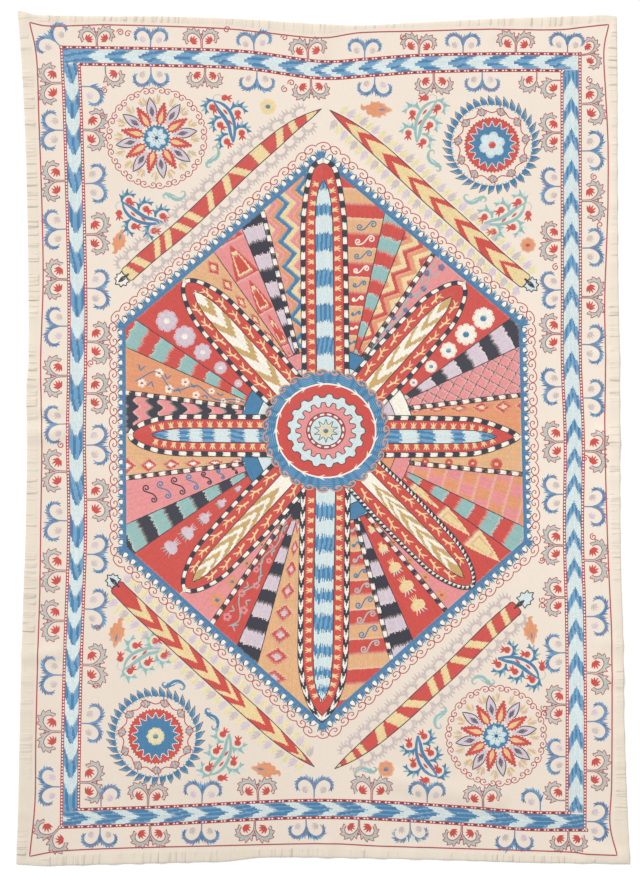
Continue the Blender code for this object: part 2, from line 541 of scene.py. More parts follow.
# Each side: its edge, how far it stands out from that, its width, its blue share, how much of the
# blue is light, its dots, then rows of (place along the side, how many chevrons have begun by there)
BAND_SIDES = (
    (BAND_TOP, 3.5, 49, 0.52, 0.2, ("white", "black", "white"), (
        (22, 0), (187, 2), (447, 5), (612, 7), (661, 8), (865, 11), (1032, 13), (1184, 15), (1290, 16.3),
    )),
    (BAND_RIGHT, 3.5, 52, 0.42, 0.2, ("white",), (
        (30, 0), (336, 4), (645, 8), (893, 11), (1096, 14), (1306, 17), (1550, 20), (1733, 22), (1906, 24.1),
    )),
    (BAND_BOTTOM, 7, 50, 0.6, -0.6, ("white", "white", "black"), (
        (0, 0), (69, 1), (360, 4), (536, 6), (793, 9), (1044, 12), (1300, 15),
    )),
    (BAND_LEFT, 3, 49, 0.53, 0.2, ("white",), (
        (30, 0), (280, 3), (598, 7), (678, 8), (892, 10), (1131, 12), (1348, 14), (1640, 17), (1814, 19),
        (1920, 20.2),
    )),
)


def sky_or_blue(s, t, paler):
    """Indigo threads that turn sky blue here and there: seldom with paler at -1, mostly at 1."""
    darker = np.sin(t * 4.7 + s * 0.045 + 2 * np.sin(s * 0.031)) > paler
    return np.where(darker, CODES["blue"], CODES["sky"])


def beside_edge(place, length, inset, half, cut, colour_of, jag=0, pitch=ROW_PITCH):
    """Threads along a side of the band, centred inset from its outer edge and cut short at its ends."""

    def moved(s, t):
        return place(s + cut, t - inset)

    def coloured(s, t):
        return colour_of(s + cut, t)

    rows(moved, length - cut - cut, -half, half, coloured, None, jag, 0, pitch)


def trim(place, length, inset, cut, dot_threads):
    """A beaded trim: dark red with a row of round dots."""
    beside_edge(place, length, inset, TRIM_WIDTH / 2, cut, plain("rust"), 0, 2)
    rest = length - 2 * cut
    count = round(rest / DOT_PITCH)
    s = cut + (np.arange(count) + 0.5) * rest / count
    places = place(s, -inset)
    ahead_x, ahead_y = (place(s + 1, -inset) - places).T
    turned = np.degrees(np.arctan2(ahead_y, ahead_x))
    for k, thread in enumerate(dot_threads):
        own = slice(k, None, len(dot_threads))
        dots(thread, places[own], 4, 4.4, 1, turned[own])


def band_side(edge, out, width, share, paler, dot_threads, begun, upright):
    """One side of the chevron band: V shapes that point back to its start, between two trims."""
    place, length = beside(smooth_path(edge, 12))
    core = width / 2 - TRIM_WIDTH
    inner = width - TRIM_WIDTH - out

    def chevrons(s, t):
        back = CHEVRON_SLANT * np.clip(np.abs(t) / core, 0, 1)
        shown = np.mod(read_rows(begun, s - back), 1) < share
        return np.where(shown, sky_or_blue(s, t, paler), CODES["pale_blue"])

    cut = inner if upright else TRIM_WIDTH - out
    beside_edge(place, length, width / 2 - out, core + 0.8, cut, chevrons, 4)
    for start in (-out, inner):
        trim(place, length, start + TRIM_WIDTH / 2, start, dot_threads)


def stitch_band():
    for k, side in enumerate(BAND_SIDES):
        band_side(*side, k % 2 == 1)


# A running scroll, one unit of 57 by 19 mm: an arch with a curl at its end, then a curl and a lower arch
BRACE_PITCH = 57
BRACE_HEIGHT = 19
BRACE = (
    (
        (0, 11), (5, 15.5), (13, 19), (21, 19.5), (28, 16.5), (31.5, 11), (30.5, 5.5), (26, 1.8), (20, 0.5),
        (15, 2.5), (12.5, 7), (15, 11), (19, 10.5), (20.5, 7.5),
    ),
    (
        (43, 6.5), (45.5, 9.5), (49, 8), (49.5, 4), (46.5, 0.8), (41, 0), (36, 2.5), (33, 7.5), (33.5, 12.5),
        (37, 15.8), (43, 17.5), (50, 17), (54.5, 14.5), (57, 11),
    ),
)


def braces(points, height, pitch, width):
    """A running scroll round a closed line, on its left and curled towards it."""
    place, length = beside(smooth_path(closed(points), 6))
    count = round(length / pitch)
    stretch = length / count / BRACE_PITCH
    for k in range(count):
        for part in BRACE:
            s, t = np.array(part, float).T
            curl = place(k * length / count + s * stretch, t * (height / BRACE_HEIGHT))
            line("rust", curl, width, 0, 4, ends=0.8)


# The hexagon round the medallion: the inner edge of its blue line
HEXAGON = ((-3, 681), (480, 276), (492, -252), (-3, -695), (-482, -267), (-484, 270))
HEXAGON_SIDES = list(zip(np.array(HEXAGON, float), np.roll(np.array(HEXAGON, float), -1, axis=0)))
HEXAGON_LINE = 10
FRINGE_PITCH = 24.5
# One gap's spikes: how far to the side, how far out, and thread
FRINGE = ((-7, 20, "blue"), (-3.5, 24, "slate"), (0, 28, "blue"), (3.5, 25, "blue"), (7, 20, "slate"))


def stitch_hexagon():
    """The blue line, its fringe of spikes with a cream drop in each gap, and the running scroll."""
    scroll_path = []
    for first, last in HEXAGON_SIDES:
        edge, length = beside(smooth_path([first, mix(first, last, 0.5), last], 20))
        tall = 0.76 if abs(first[0] - last[0]) < 20 else 1

        def past_corner(s, t, edge=edge):
            return edge(s - 5, t)

        def place(s, t, edge=edge, tall=tall):
            return edge(s, t * tall)

        rows(past_corner, length + 10, 0, HEXAGON_LINE, plain("blue"), None, 0, 0.6)
        gaps = round(length / FRINGE_PITCH)
        for gap in range(gaps):
            s = (gap + 0.5) * length / gaps
            lean = CHANCE.uniform(-2, 2)
            stroke("white", [place(s, 11), place(s + lean, 23)], (6, 12, 9.5, 3), 2, 4)
            left = [place(s - 5, 13), place(s - 4.5 + lean, 21), place(s + lean, 26)]
            stroke("blue", left, (3, 3, 1), 1.6, 5)
            right = [place(s + 5, 15), place(s + 5 + lean, 21), place(s + 1 + lean, 27)]
            stroke("black", right, (2, 3.4, 1), 1.6, 5)
            middle = s + length / gaps / 2
            for side, far, thread in FRINGE:
                root = place(middle + side * 0.7, 6)
                tip = place(middle + side * 1.35 + lean, far + CHANCE.uniform(-2, 2))
                stroke(thread, [root, tip], (5.4, 4.2, 1), 1, 6)
        scroll_path.append(place(np.linspace(0, length, round(length / 30)), 28.5))
        outward = math.degrees(math.atan2(first[1], first[0]))
        for lean in (-24, -12, 0, 12, 24):
            far = 24 + 3 * (lean % 24 == 0)
            spike = [around(first, reach, outward + lean) for reach in (4, far)]
            stroke("blue", spike, (6, 5, 1.2), 1, 6)
    # The scroll starts on a straight stretch, so that its ends meet well
    braces(np.roll(np.vstack(scroll_path), 8, axis=0), 18.5, 57, 2.6)


# The centre of the medallion: its rings stand a little above the point where the rays meet
RING_CENTRE = (7, 17.5)
RING_SQUASH = 0.94
RINGS_LEVEL = 5
RAY_CENTRE = (8, 4)
KNOBS = 17
RING_CURLS = 27
# One curl on the blue ring's edge: degrees from its crest, and how far out from the edge
RING_CURL = (
    (-6.6, -9), (-5, -4.5), (-2.5, 0.5), (0.5, 2), (3.5, 0), (5, -4.5), (3.8, -9.5), (0.5, -10.5),
    (-1.2, -7), (1, -4.8),
)
# Lines between the rings: thread, radius, depth of the knobs, width, and how many points
RING_LINES = (
    ("black", 38.5, 0, 1.7, 40), ("black", 47.5, 0, 1.7, 40), ("black", 68, -6, 2, 170),
    ("black", 91.5, 4.5, 2, 170), ("white", 122, 0, 4, 60),
)


def knobbed(radius, depth, angle):
    """The radius of a round-knobbed ring at this angle."""
    return radius + depth * np.tanh(2.6 * np.cos(KNOBS * angle))


def ring_edge(angle):
    """The reach of the blue ring's crests, which stand out more above and below."""
    return 153 + 5 * np.sin(angle) ** 2


def medallion_rings(angle, radius):
    """The thread of each place in the medallion's rings, from the pale disc out to the blue one."""
    inner_edge = knobbed(68, -6, angle)
    outer_edge = knobbed(91.5, 4.5, angle)
    wavy_edge = ring_edge(angle) - 7 + 7 * np.abs(np.cos(RING_CURLS * angle / 2))
    bead = (np.mod(angle * 15 / (2 * math.pi), 1) < 0.62) & (np.abs(radius - 43) < 2.8)
    streak = np.sin(radius * 1.3 + 3 * np.sin(angle * 9)) > 0.55
    rings = [
        (radius < 38.5, "pale_blue"),
        (bead, "white"),
        (radius < 47.5, "rust"),
        (radius < inner_edge, "pink"),
        (radius < outer_edge, "pale_blue"),
        (radius < 121, "red"),
        ((radius < wavy_edge) & streak, "sky"),
        (radius < wavy_edge, "blue"),
    ]
    tests = [test for test, _ in rings]
    return np.select(tests, [CODES[name] for _, name in rings], NOTHING)


def stitch_rings():
    """The rings and their outlines, a row of little white tongues, orange curls, and the star."""
    for inner, outer in ((2, 38.5), (38.5, 47.5), (47.5, 159)):
        middle = (inner + outer) / 2

        def coloured(s, t, middle=middle):
            return medallion_rings(s / middle, middle + t)

        ring(RING_CENTRE, inner, outer, coloured, RING_SQUASH, RINGS_LEVEL)
    for thread, radius, depth, width, count in RING_LINES:
        angle = np.linspace(0, 2 * math.pi, count, endpoint=False)
        circle = arc(RING_CENTRE, knobbed(radius, depth, angle), angle, RING_SQUASH)
        line(thread, circle, width, RINGS_LEVEL + 1, 6, True)
    for k in range(KNOBS):
        angle = (k + 0.4) * 2 * math.pi / KNOBS
        for side in (-7, 7):
            reach = np.array([122, 122 + side])
            tongue = arc(RING_CENTRE, reach, np.array([angle, angle + 0.11]), RING_SQUASH)
            stroke("white", tongue, (4, 3, 1), RINGS_LEVEL + 1)
    lean, out = np.array(RING_CURL).T
    for k in range(RING_CURLS):
        crest = 2 * math.pi * k / RING_CURLS
        curl = arc(RING_CENTRE, ring_edge(crest) + out, crest + np.radians(lean), RING_SQUASH)
        line("orange", curl, 3, RINGS_LEVEL + 1, 4, ends=0.8)
    line("black", star_points(RING_CENTRE, 30, 17, 10, RING_SQUASH), 1.8, RINGS_LEVEL + 1, 4, True)
    star = star_points(RING_CENTRE, 24, 10, 10, RING_SQUASH)
    fill(star, 90, plain("yellow"), level=RINGS_LEVEL + 1.5)
    fill(ring_points(RING_CENTRE, 6, 10), 90, plain("blue"), level=RINGS_LEVEL + 2.5)


# Rays: half widths at these distances from the tip
TOP_SHAPE = ((0, 0), (8, 18), (23, 33), (50, 41), (91, 49), (173, 57), (700, 58))
BOTTOM_SHAPE = ((0, 0), (17, 17), (37, 32), (57, 41), (102, 55), (177, 62), (700, 60))
LEFT_SHAPE = ((0, 0), (4, 10), (12, 19), (32, 31), (57, 40), (82, 46), (132, 51), (500, 52))
RIGHT_SHAPE = ((0, 0), (9, 9), (29, 20), (54, 30), (79, 39), (129, 49), (500, 52))
SLANT_SHAPE = ((0, 0), (12, 18), (37, 34), (76, 48), (110, 54), (184, 57), (282, 58), (355, 55), (530, 48))
RAY_START = 122
RAY_LEVEL = 2.2
RAY_BORDER = 34
DASH_PITCH = 36
DASH_BARB = 16
SMALL_TOOTH = 12
# A ray's sprigs: their pitch, then each prong's root, tip and width
SHORT_SPRIG = (24.5, (
    ((0, 7), (0, -7), 5.5), ((0, 6), (-7, -6), 4), ((0, 6), (7, -6), 4), ((-6, 6), (6, 6), 5),
))
LONG_SPRIG = (49, (
    ((-21, 5), (16, -4), 4.8), ((-3, 1), (6, -11), 4.4), ((-7, 1), (-5, 10), 4.4), ((5, -1), (18, 7), 4.4),
))
RAYS = (
    # tip, half widths, edging and its width, the core's distance from the tip and its half width,
    # its threads from the tip, how far from its tip they change, and how far each V leans back
    ((0, 687), TOP_SHAPE, "blocks", 12, 54, 21.5, ("sky", "pale_blue"),
     (24, 61, 86, 131, 173, 220, 261, 305, 347, 385, 427, 472), 0),
    ((-3, -699), BOTTOM_SHAPE, "barbs", 13, 54, 24, ("pale_blue", "sky"),
     (20, 37, 60, 80, 112, 137, 172, 212, 245, 272, 297, 330, 367, 405, 447, 482), 0),
    ((-480, 8), LEFT_SHAPE, "blocks", 12, 58, 17, ("sky", "pale_blue"),
     (38, 68, 92, 123, 153, 192, 227, 262), 0),
    ((486, 3), RIGHT_SHAPE, "blocks", 12, 60, 17, ("sky", "pale_blue"), (40, 81, 109, 153, 192, 235), 0),
    ((-343, 388), SLANT_SHAPE, "blocks", 10, 39, 21.5, ("white", "ochre"),
     (57, 88, 125, 157, 206, 238, 287, 319), 52),
    ((348, 382), SLANT_SHAPE, "blocks", 10, 47, 18.5, ("ochre", "white"),
     (56, 90, 115, 152, 176, 218, 242, 276, 311), 52),
    ((-343, -377), SLANT_SHAPE, "blocks", 10, 32, 18.5, ("ochre", "white"),
     (54, 83, 105, 135, 164, 186, 213, 235, 262, 284, 316), 52),
    ((370, -368), SLANT_SHAPE, "teeth", 10, 34, 17.5, ("ochre", "white"),
     (66, 91, 123, 152, 177, 204, 233, 257, 274, 297, 319), 52),
)


def beside_axis(tip):
    """A function of s from the ray centre towards the tip and t to its left, and the length."""
    start = np.asarray(RAY_CENTRE, float)
    reach = np.asarray(tip, float) - start
    length = math.hypot(*reach)
    along = reach / length

    def place(s, t):
        return as_points(start[0] + s * along[0] - t * along[1], start[1] + s * along[1] + t * along[0])

    def own_side(side):
        return lambda x, y: ((y - start[1]) * along[0] - (x - start[0]) * along[1]) * side > 0

    return place, own_side, length


def edging_colours(kind, width, length):
    """Black and white along a ray's edge: blocks, barbs that point to the tip, or small teeth."""
    black = CODES["black"]
    white = CODES["white"]

    def colour_of(s, t):
        if kind == "teeth":
            return np.where(np.mod(s, SMALL_TOOTH) / SMALL_TOOTH < 0.9 * t / width, white, black)
        back = DASH_BARB * np.abs(2 * t / width - 1) if kind == "barbs" else 0
        return np.where(np.mod(s + back - length, DASH_PITCH) < DASH_PITCH / 2, black, white)

    return colour_of


def core_colours(threads, changes, slant, widest):
    """Bands of two threads, read from the core's tip. With a slant they are V shapes."""
    one, two = [CODES[name] for name in threads]

    def colour_of(deep, t):
        band = np.searchsorted(changes, deep + slant * np.abs(t) / widest)
        thread = np.where(band % 2 == 0, one, two)
        return np.where(thread == CODES["sky"], sky_or_blue(deep, t, 0.1), thread)

    return colour_of


def stitch_ray(tip, shape, edging, dash, core_gap, core_half, threads, changes, slant):
    """A ray: an edging of dashes, a red border with sprigs, and a core of blocks or V shapes."""
    level = RAY_LEVEL
    place, own_side, length = beside_axis(tip)
    s = np.linspace(RAY_START, length, 70)
    half = read_rows(shape, length - s)
    core_length = length - core_gap - RAY_START
    for side in (1, -1):
        beside_curve, edge_length = beside(place(s, side * half))
        mine = own_side(side)

        def inward(a, b, beside_curve=beside_curve, side=side):
            return beside_curve(a, -side * b)

        rows(inward, edge_length, 0, dash, edging_colours(edging, dash, edge_length), mine, 1, level)
        rows(inward, edge_length, dash, dash + RAY_BORDER, plain("red"), mine, 0, level)
        for inset in (0.5, dash):
            edge = inward(np.linspace(0, edge_length, 90), inset)
            line("black", edge[mine(*edge.T)], 2, level + 1, 9)
        stitch_sprigs(inward, edge_length, dash + 12, side, slant > 0, level + 1)
    line("red", [place(length - core_gap - 6, 0), place(length - 16, 0)], 3, level + 0.4, 9)

    def half_at(deep):
        return core_half * (1 - np.exp(-deep / 30))

    shaded = core_colours(threads, changes, slant, core_half)

    def coloured(a, b):
        deep = core_length - a
        return np.where(np.abs(b) < half_at(deep), shaded(deep, b), NOTHING)

    def core_place(a, b):
        return place(a + RAY_START, b)

    jag = 9 if edging == "barbs" else 5
    rows(core_place, core_length, -core_half, core_half, coloured, None, jag, level + 1.5)
    at = np.linspace(0, core_length, 24)
    for side in (1, -1):
        line("black", core_place(at, side * half_at(core_length - at)), 2, level + 2.2, 9)


def stitch_sprigs(inward, edge_length, inset, side, long, level):
    """The little pronged sprigs down the middle of a ray's red border, which open outwards."""
    pitch, prongs = LONG_SPRIG if long else SHORT_SPRIG
    s = edge_length - 72 - (0.3 * pitch if side > 0 else 0)
    while s > 20:
        for root, tip, width in prongs:
            along, deep = (np.array([root, tip]) + (s, inset)).T
            stroke("yellow", inward(along, deep), (width, width * 0.8, width * 0.4), level, 6)
        s -= pitch


def hexagon_point(angle):
    """The point on the hexagon's edge that is in this direction from the ray centre."""
    direction = np.array([math.cos(math.radians(angle)), math.sin(math.radians(angle))])
    nearest = math.inf
    for (x0, y0), (x1, y1) in HEXAGON_SIDES:
        cross = direction[0] * (y1 - y0) - direction[1] * (x1 - x0)
        from_x = x0 - RAY_CENTRE[0]
        from_y = y0 - RAY_CENTRE[1]
        far = (from_x * (y1 - y0) - from_y * (x1 - x0)) / cross
        share = (from_x * direction[1] - from_y * direction[0]) / cross
        if far > 0 and -1e-6 <= share <= 1 + 1e-6:
            nearest = min(nearest, far)
    return np.array(RAY_CENTRE, float) + nearest * direction


# Leafy scroll pairs on both sides of the band: the place along each side and the kind, then the
# edge that they stand on, how far from it, how they are turned, their size, and if the side is upright
LEFT_UPWARDS = [(y, x) for x, y in BAND_LEFT]
RIGHT_UPWARDS = [(y, x) for x, y in BAND_RIGHT]
SCROLLS = (
    ("-554R -423B -297R -169B -37R 102B 235R 343B 472R 599B",
     BAND_TOP, 2, 0, 0.88, False),
    ("-535l -422B -289R -162B -30R 127B 271R 390B 525r",
     BAND_TOP, -44, 180, 0.9, False),
    ("-546B -424R -297B -167R -42B 88R 213P 340R 470B 601R",
     BAND_BOTTOM, -4, 180, 0.92, False),
    ("-544b -429R -297B -159R -22B 119R 255B 392R 532a",
     BAND_BOTTOM, 44, 0, 0.95, False),
    ("870R 754B 630R 512B 388R 274B 152R 34B -83R -203B -326R -448R -581B -720R -855B",
     LEFT_UPWARDS, -2, 90, 1, True),
    ("861b 755R 623B 498R 367B 236R 109R -18B -151R -285B -419B -556R -699B -844R",
     LEFT_UPWARDS, 44, -90, 1, True),
    ("818R 703B 581R 465B 345R 229B 98B -32R -168B -300R -438B -575R -695B -815R -940B",
     RIGHT_UPWARDS, 2, -90, 0.98, True),
    ("877l 748R 616B 485R 363B 255R 126B -9R -138B -264R -391R -526B -654R -781B -889r",
     RIGHT_UPWARDS, -44, 90, 0.95, True),
)
SCROLL_ARM = (
    (0, 0), (0, 14), (-1, 26), (-6, 37), (-13, 45), (-23, 50), (-33, 49), (-41, 43), (-44, 34), (-42, 25),
    (-37, 19),
)
# Small curls beside the pairs: place, the first turn of the curl, how many turns
TENDRILS = (
    (-497, 994, 180, -1.5), (-478, 990, 20, 1.2), (-535, 852, 60, 1.5), (-541, 788, 150, -1.5),
    (-236, 1000, 0, 1.3), (-95, 981, 180, -1.3), (-94, 855, 90, 1.3), (-78, 870, 200, -1.3),
    (654, 877, 90, 1.3), (664, 640, 100, 1.4), (679, 522, -80, -1.2), (570, 419, 70, 1.3),
    (642, -50, 0, 1.3), (662, -242, 90, 1.4), (536, -299, 200, 1.3), (538, -396, 150, 1.2),
    (538, -412, 210, -1.2), (542, -661, 140, 1.2), (542, -676, 220, -1.2), (198, 983, 120, 1.3),
    (-569, 183, -90, -1.3), (-642, -17, 90, 1.3), (-553, -466, 180, -1.3), (-556, -608, 0, 1.2),
)
FORK = 28


def scroll_bud(thread, at, turn, size, flip, level):
    """The bud inside a curl, with five prongs that open up and towards the stem."""
    base = (-31, 18)
    middle = [base, (-34, 24), (-29, 31), (-21, 30), (-17, 23), (-21, 15)]
    fill(put(middle, at, turn, size, flip), turn + (150 if flip else 30), plain(thread), level=level)
    for lean, reach in ((80, 18), (56, 22), (32, 23), (10, 21), (-12, 19)):
        tip = around(base, reach, lean)
        points = [around(base, 4, lean), around(base, reach * 0.65, lean), tip]
        stroke(thread, put(points, at, turn, size, flip), (5.5, 5.5, 4.2, 0.8), level + 0.5, 6)


def red_arm(at, turn, size, flip):
    """A grey-green leaf that curls round a red bud, toothed on its back and outlined in dark red."""
    place, length = beside(smooth_path(put(SCROLL_ARM, at, turn, size, flip), 3))
    back = 1 if flip else -1
    start = FORK * size
    tooth = (length - start) / 7

    def thick(s):
        share = np.clip((s - start) / (length - start), 0, 1)
        swell = 2.2 + 1.8 * smooth(share * 4) - 1.6 * smooth(share * 5 - 4)
        bite = np.mod((s - start) / tooth, 1) ** 1.7 * (12 - 5.5 * share) * (s > start)
        inner = 2 + 3.6 * np.sin(math.pi * share)
        return (swell + bite) * size, inner * size

    def coloured(s, t):
        outer, inner = thick(s)
        kept = (t * back < outer) & (t * back > -inner)
        return np.where(kept, CODES["grey_green"], NOTHING)

    rows(place, length, -12 * size, 12 * size, coloured, None, 0, 0, 2.4)
    s = np.linspace(start, length, 64)
    outer, _ = thick(s)
    lay("rust", place(s, outer * back), np.full(len(s), 0.9), 1)
    s = np.linspace(0, length, 40)
    _, inner = thick(s)
    lay("rust", place(s, -inner * back), np.full(len(s), 0.95), 1)
    scroll_bud("red", at, turn, size, flip, 0.5)


def feather_arm(at, turn, size, flip, threads, bud):
    """A feathery curl of single strokes round a pale bud."""
    path = smooth_path(put(SCROLL_ARM, at, turn, size, flip), 3)
    place, length = beside(path)
    back = 1 if flip else -1
    lay(threads[0], path, np.interp(np.linspace(0, 1, len(path)), [0, 0.4, 0.7, 1], [1.6, 2.2, 3.4, 1]), 0)
    for k in range(12):
        s = (0.26 + 0.06 * k) * length
        reach = (20, 15, 17, 12, 15, 11, 13, 10, 12, 9, 10, 8)[k] * size * CHANCE.uniform(0.8, 1.1)
        leaflet = [place(s - 3, 0.4 * back), place(s + reach * 0.5, reach * 0.8 * back)]
        stroke(threads[int(CHANCE.integers(0, len(threads)))], leaflet, (6, 4.4, 0.8), 0.5, 6)
    for lean, reach in ((84, 13), (58, 18), (34, 19), (10, 17), (-14, 14)):
        base = (-30, 18)
        points = [around(base, 1, lean), around(base, reach * 0.6, lean), around(base, reach, lean)]
        stroke(bud, put(points, at, turn, size, flip), (3, 5, 1.4), 0, 6)


def scroll_pair(at, turn, kind, size=1):
    """Two curls on one stem, or one of them where kind is a small letter."""
    flips = {"l": (False,), "r": (True,), "a": (False,), "b": (True,)}.get(kind, (False, True))
    threads = ("slate", "pale_blue", "grey_green") if kind == "P" else ("slate", "blue", "slate", "sky")
    for flip in flips:
        own = size * CHANCE.uniform(0.93, 1.03)
        if kind in "Rrl":
            red_arm(at, turn, own, flip)
        else:
            feather_arm(at, turn, own, flip, threads, "fawn" if CHANCE.random() < 0.75 else "mauve")


def stitch_scrolls():
    for text, edge, inset, turn, size, upright in SCROLLS:
        for mark in text.split():
            place = float(mark[:-1])
            near = float(read_rows(sorted(edge), place)) + inset
            at = (near, place) if upright else (place, near)
            scroll_pair(at, turn + CHANCE.uniform(-3, 3), mark[-1], size)
    scroll_pair((-642, 958), 45, "B", 0.95)
    scroll_pair((634, 938), -80, "R", 0.8)
    scroll_pair((-644, -953), 135, "R", 0.95)
    for x, y, start, turns in TENDRILS:
        line("rust", spiral((x, y), 9, start, turns, 12), 2.2, 1, 4)


# Rosettes in the four corners of the field
STAR_ROSETTES = ((-408, 735), (424, -730))
WHEEL_ROSETTES = ((414, 718), (-410, -731))


def star_rosette(centre):
    """Red lances with yellow hearts and mauve kites round a blue disc, in a ring of curls."""
    braces(ring_points(centre, 110, 90)[::-1], 14, 36.5, 2.4)
    for k in range(16):
        angle = 21.2 + 22.5 * k
        for at, (lean, far) in enumerate(((-6.5, 98), (-3.2, 105), (0, 108), (3.2, 104), (6.5, 99))):
            root = around(centre, 84, angle + lean * 0.3)
            thread = ("straw", "tan", "fawn")[(at + k) % 3]
            stroke(thread, [root, around(centre, far, angle + lean)], (4, 6.5, 2), 0, 6)
    for k in range(8):
        angle = 10 + 45 * k
        for edge in petal("mauve", around(centre, 38, angle), around(centre, 101, angle), 11.5, 0.6):
            line("black", edge[2:], 2.3, 1.4, 6)
        petal("black", around(centre, 52, angle), around(centre, 80, angle), 5.5, 1.4)
    for k in range(8):
        angle = 32.5 + 45 * k
        left, right = petal("red", around(centre, 30, angle), around(centre, 92, angle), 13, 1, 0.3)
        petal("yellow", around(centre, 33, angle), around(centre, 72, angle), 5.6, 1.7, 0.35)
        for edge in (left, right):
            beads(edge, "white", "rust", 2.3, 1.9, 4)
    fill(ring_points(centre, 31, 24), 90, plain("blue"), level=2)
    beads(closed(ring_points(centre, 32, 24)), "white", "blue", 3, 3)
    for k in range(8):
        petal("pale_blue", around(centre, 4, 12 + 45 * k), around(centre, 27, 12 + 45 * k), 6.5, 3, 0.65)
    dots("black", [centre], 4, 5, 4, [0])


def wheel_rosette(centre, heart):
    """A flower in a blue star and a red disc, with a leafy vine and a wheel of curved leaves round it."""
    for k in range(36):
        angle = 10 * k
        lean = 8 * math.cos(math.radians(angle - 35))
        fin = ((99, -4.2), (110, 0.3 * lean - 3.2), (122, lean), (112, 0.4 * lean + 3.4), (99, 4.2))
        outline = [around(centre, radius, angle + turn) for radius, turn in fin]
        fill(outline, angle, plain("blue"), pitch=2.2)
        lay("black", outline, 0.6, 0.6)
    beads(closed(ring_points(centre, 97, 40)), "blue", "white", 2, 0, 5)
    angles = np.arange(0, 360, 6)
    vine = [around(centre, 84 + 5 * math.sin(math.radians(angle * 11)), angle) for angle in angles]
    line("rust", vine, 2.8, 0, 5, True)
    for k in range(11):
        angle = 360 / 11 * (k + 0.25)
        root = around(centre, 81, angle - 7)
        tip = around(centre, 88, angle + 9)
        for edge in petal("grey_green", root, tip, 8.5, 0.8):
            line("rust", edge, 2, 1.4, 4)
        for lean, reach in ((0, 95), (5, 97), (0, 72), (5, 75)):
            thorn = [around(centre, 84, angle + lean - 3), around(centre, reach, angle + lean)]
            stroke("rust", thorn, (4, 1.6), 0.9, 5)
    ring(centre, 40, 66, plain("red"))
    beads(closed(ring_points(centre, 67, 40)), "white", "rust", 3, 1.5, 4.4)
    star = star_points(centre, 59, 45, 17)
    fill(star, 90, plain("blue"), level=1)
    beads(closed(star), "white", "white", 2.6, 2, 4.4)
    bloom(centre, *heart, 2, 20)


# Fruiting sprigs: place of the foot, lean in degrees, thread, and flipped or not
SPRIGS = (
    ((-222, 728), 27, "blue", False),
    ((-395, 530), 62, "blue", True),
    ((232, 728), -27, "teal", True),
    ((398, 528), -62, "teal", False),
    ((-392, -520), 118, "teal", False),
    ((-232, -728), 153, "teal", True),
    ((432, -542), -118, "blue", True),
    ((234, -733), -153, "blue", False),
)
SPRIG_LEAVES = (
    # curl centre, radius, start angle, sweep
    ((-13, 6), 17, 50, 165),
    ((-9, 50), 17, 50, 165),
    ((-7, 97), 16, 50, 165),
    ((29, 8), 16, 130, -165),
    ((42, 56), 18, 130, -165),
)


def sprig(at, turn, thread, flip):
    """Two stems that meet at both ends, with feathery leaves, each curled over a pomegranate."""
    other = {"blue": "teal", "teal": "pale_blue"}[thread]

    def moved(points):
        return put(points, at, turn, 1, flip)

    def fruit(centre, heading):
        fill(moved(ring_points(centre, 8, 10)), 90 + turn, plain("red"), level=0.6)
        for lean in (-28, 0, 28):
            crown = [around(centre, 6, heading), around(centre, 19, heading + lean)]
            stroke("red", moved(crown), (4, 4.6, 1.2), 0.6, 6)

    first = [(0, -4), (4, 18), (9, 38), (8, 62), (4, 84), (3, 108)]
    second = [(0, -4), (12, 12), (22, 32), (27, 56), (25, 78), (16, 96), (3, 108)]
    stroke(thread, moved(first), (5, 8, 9, 10, 8, 4))
    stroke(thread, moved(second), (5, 7, 8, 8, 7, 4))
    for centre, radius, start, sweep in SPRIG_LEAVES:
        leaf = arc(centre, radius, np.radians(start + np.linspace(0, sweep, 8)))
        stroke(thread, moved(leaf), (4, 7, 8.5, 7, 5, 2), 0.4)
        for k, reach in enumerate((11, 14, 14, 12, 9)):
            lean = start + sweep * (0.2 + 0.16 * k)
            root = around(centre, radius, lean)
            tip = around(centre, radius + reach, lean + math.copysign(14, sweep))
            stroke(other if k % 2 else thread, moved([root, tip]), (6.6, 5, 1), 0.8, 6)
        fruit((centre[0], centre[1] - 1), 270 + (12 if sweep > 0 else -20))
    line("grey_green", moved([(3, 108), (9, 118), (20, 117), (26, 110)]), 2.2)
    fruit((31, 103), -35)
    for x, y in ((17, 70), (16, 42)):
        stroke("red", moved([(x + 2, y - 7), (x - 2, y + 8)]), (2, 6, 3))


# Long blades beside the hexagon: handle, tip, how far the middle bows to the left at parts of the
# length, stripes, what grows beside them, then the stripes' places
BLADES = (
    ((-482, 397), (-5, 806), (1, 3, 1, 3, 8, 13, 14, 12, 0), "slants", "feathers", (
        # middle on the left side, middle on the right side, width
        (6, 12, 26), (44, 54, 20), (110, 95, 17), (143, 130, 19), (175, 186, 18), (215, 224, 18),
        (285, 270, 18), (340, 328, 20), (371, 386, 20), (443, 444, 36), (515, 500, 22), (550, 547, 18),
        (608, 598, 28),
    )),
    ((500, 385), (17, 803), (4, 6, 3, 1, 0, -3, -5, -4, 0), "chevrons", "tufts", (
        # where a V begins and ends on the middle
        (70, 86), (131, 171), (213, 237), (297, 319), (371, 390), (441, 475), (529, 555), (590, 660),
    )),
    ((-505, -360), (-22, -805), (-4, -7, -7, -7, -7, -7, -6, -5, 0), "chevrons", "tufts", (
        (-40, 91), (129, 161), (199, 229), (275, 311), (353, 387), (413, 436), (499, 533), (577, 610),
        (633, 650),
    )),
    ((474, -413), (29, -810), (1, 1, 5, 9, 10, 12, 11, 8, 0), "slants", "feathers", (
        (42, 34, 16), (87, 79, 15), (128, 145, 23), (184, 198, 21), (248, 236, 20), (289, 280, 20),
        (337, 356, 24), (399, 408, 34), (462, 450, 26), (518, 517, 15), (553, 551, 24), (590, 590, 18),
    )),
)
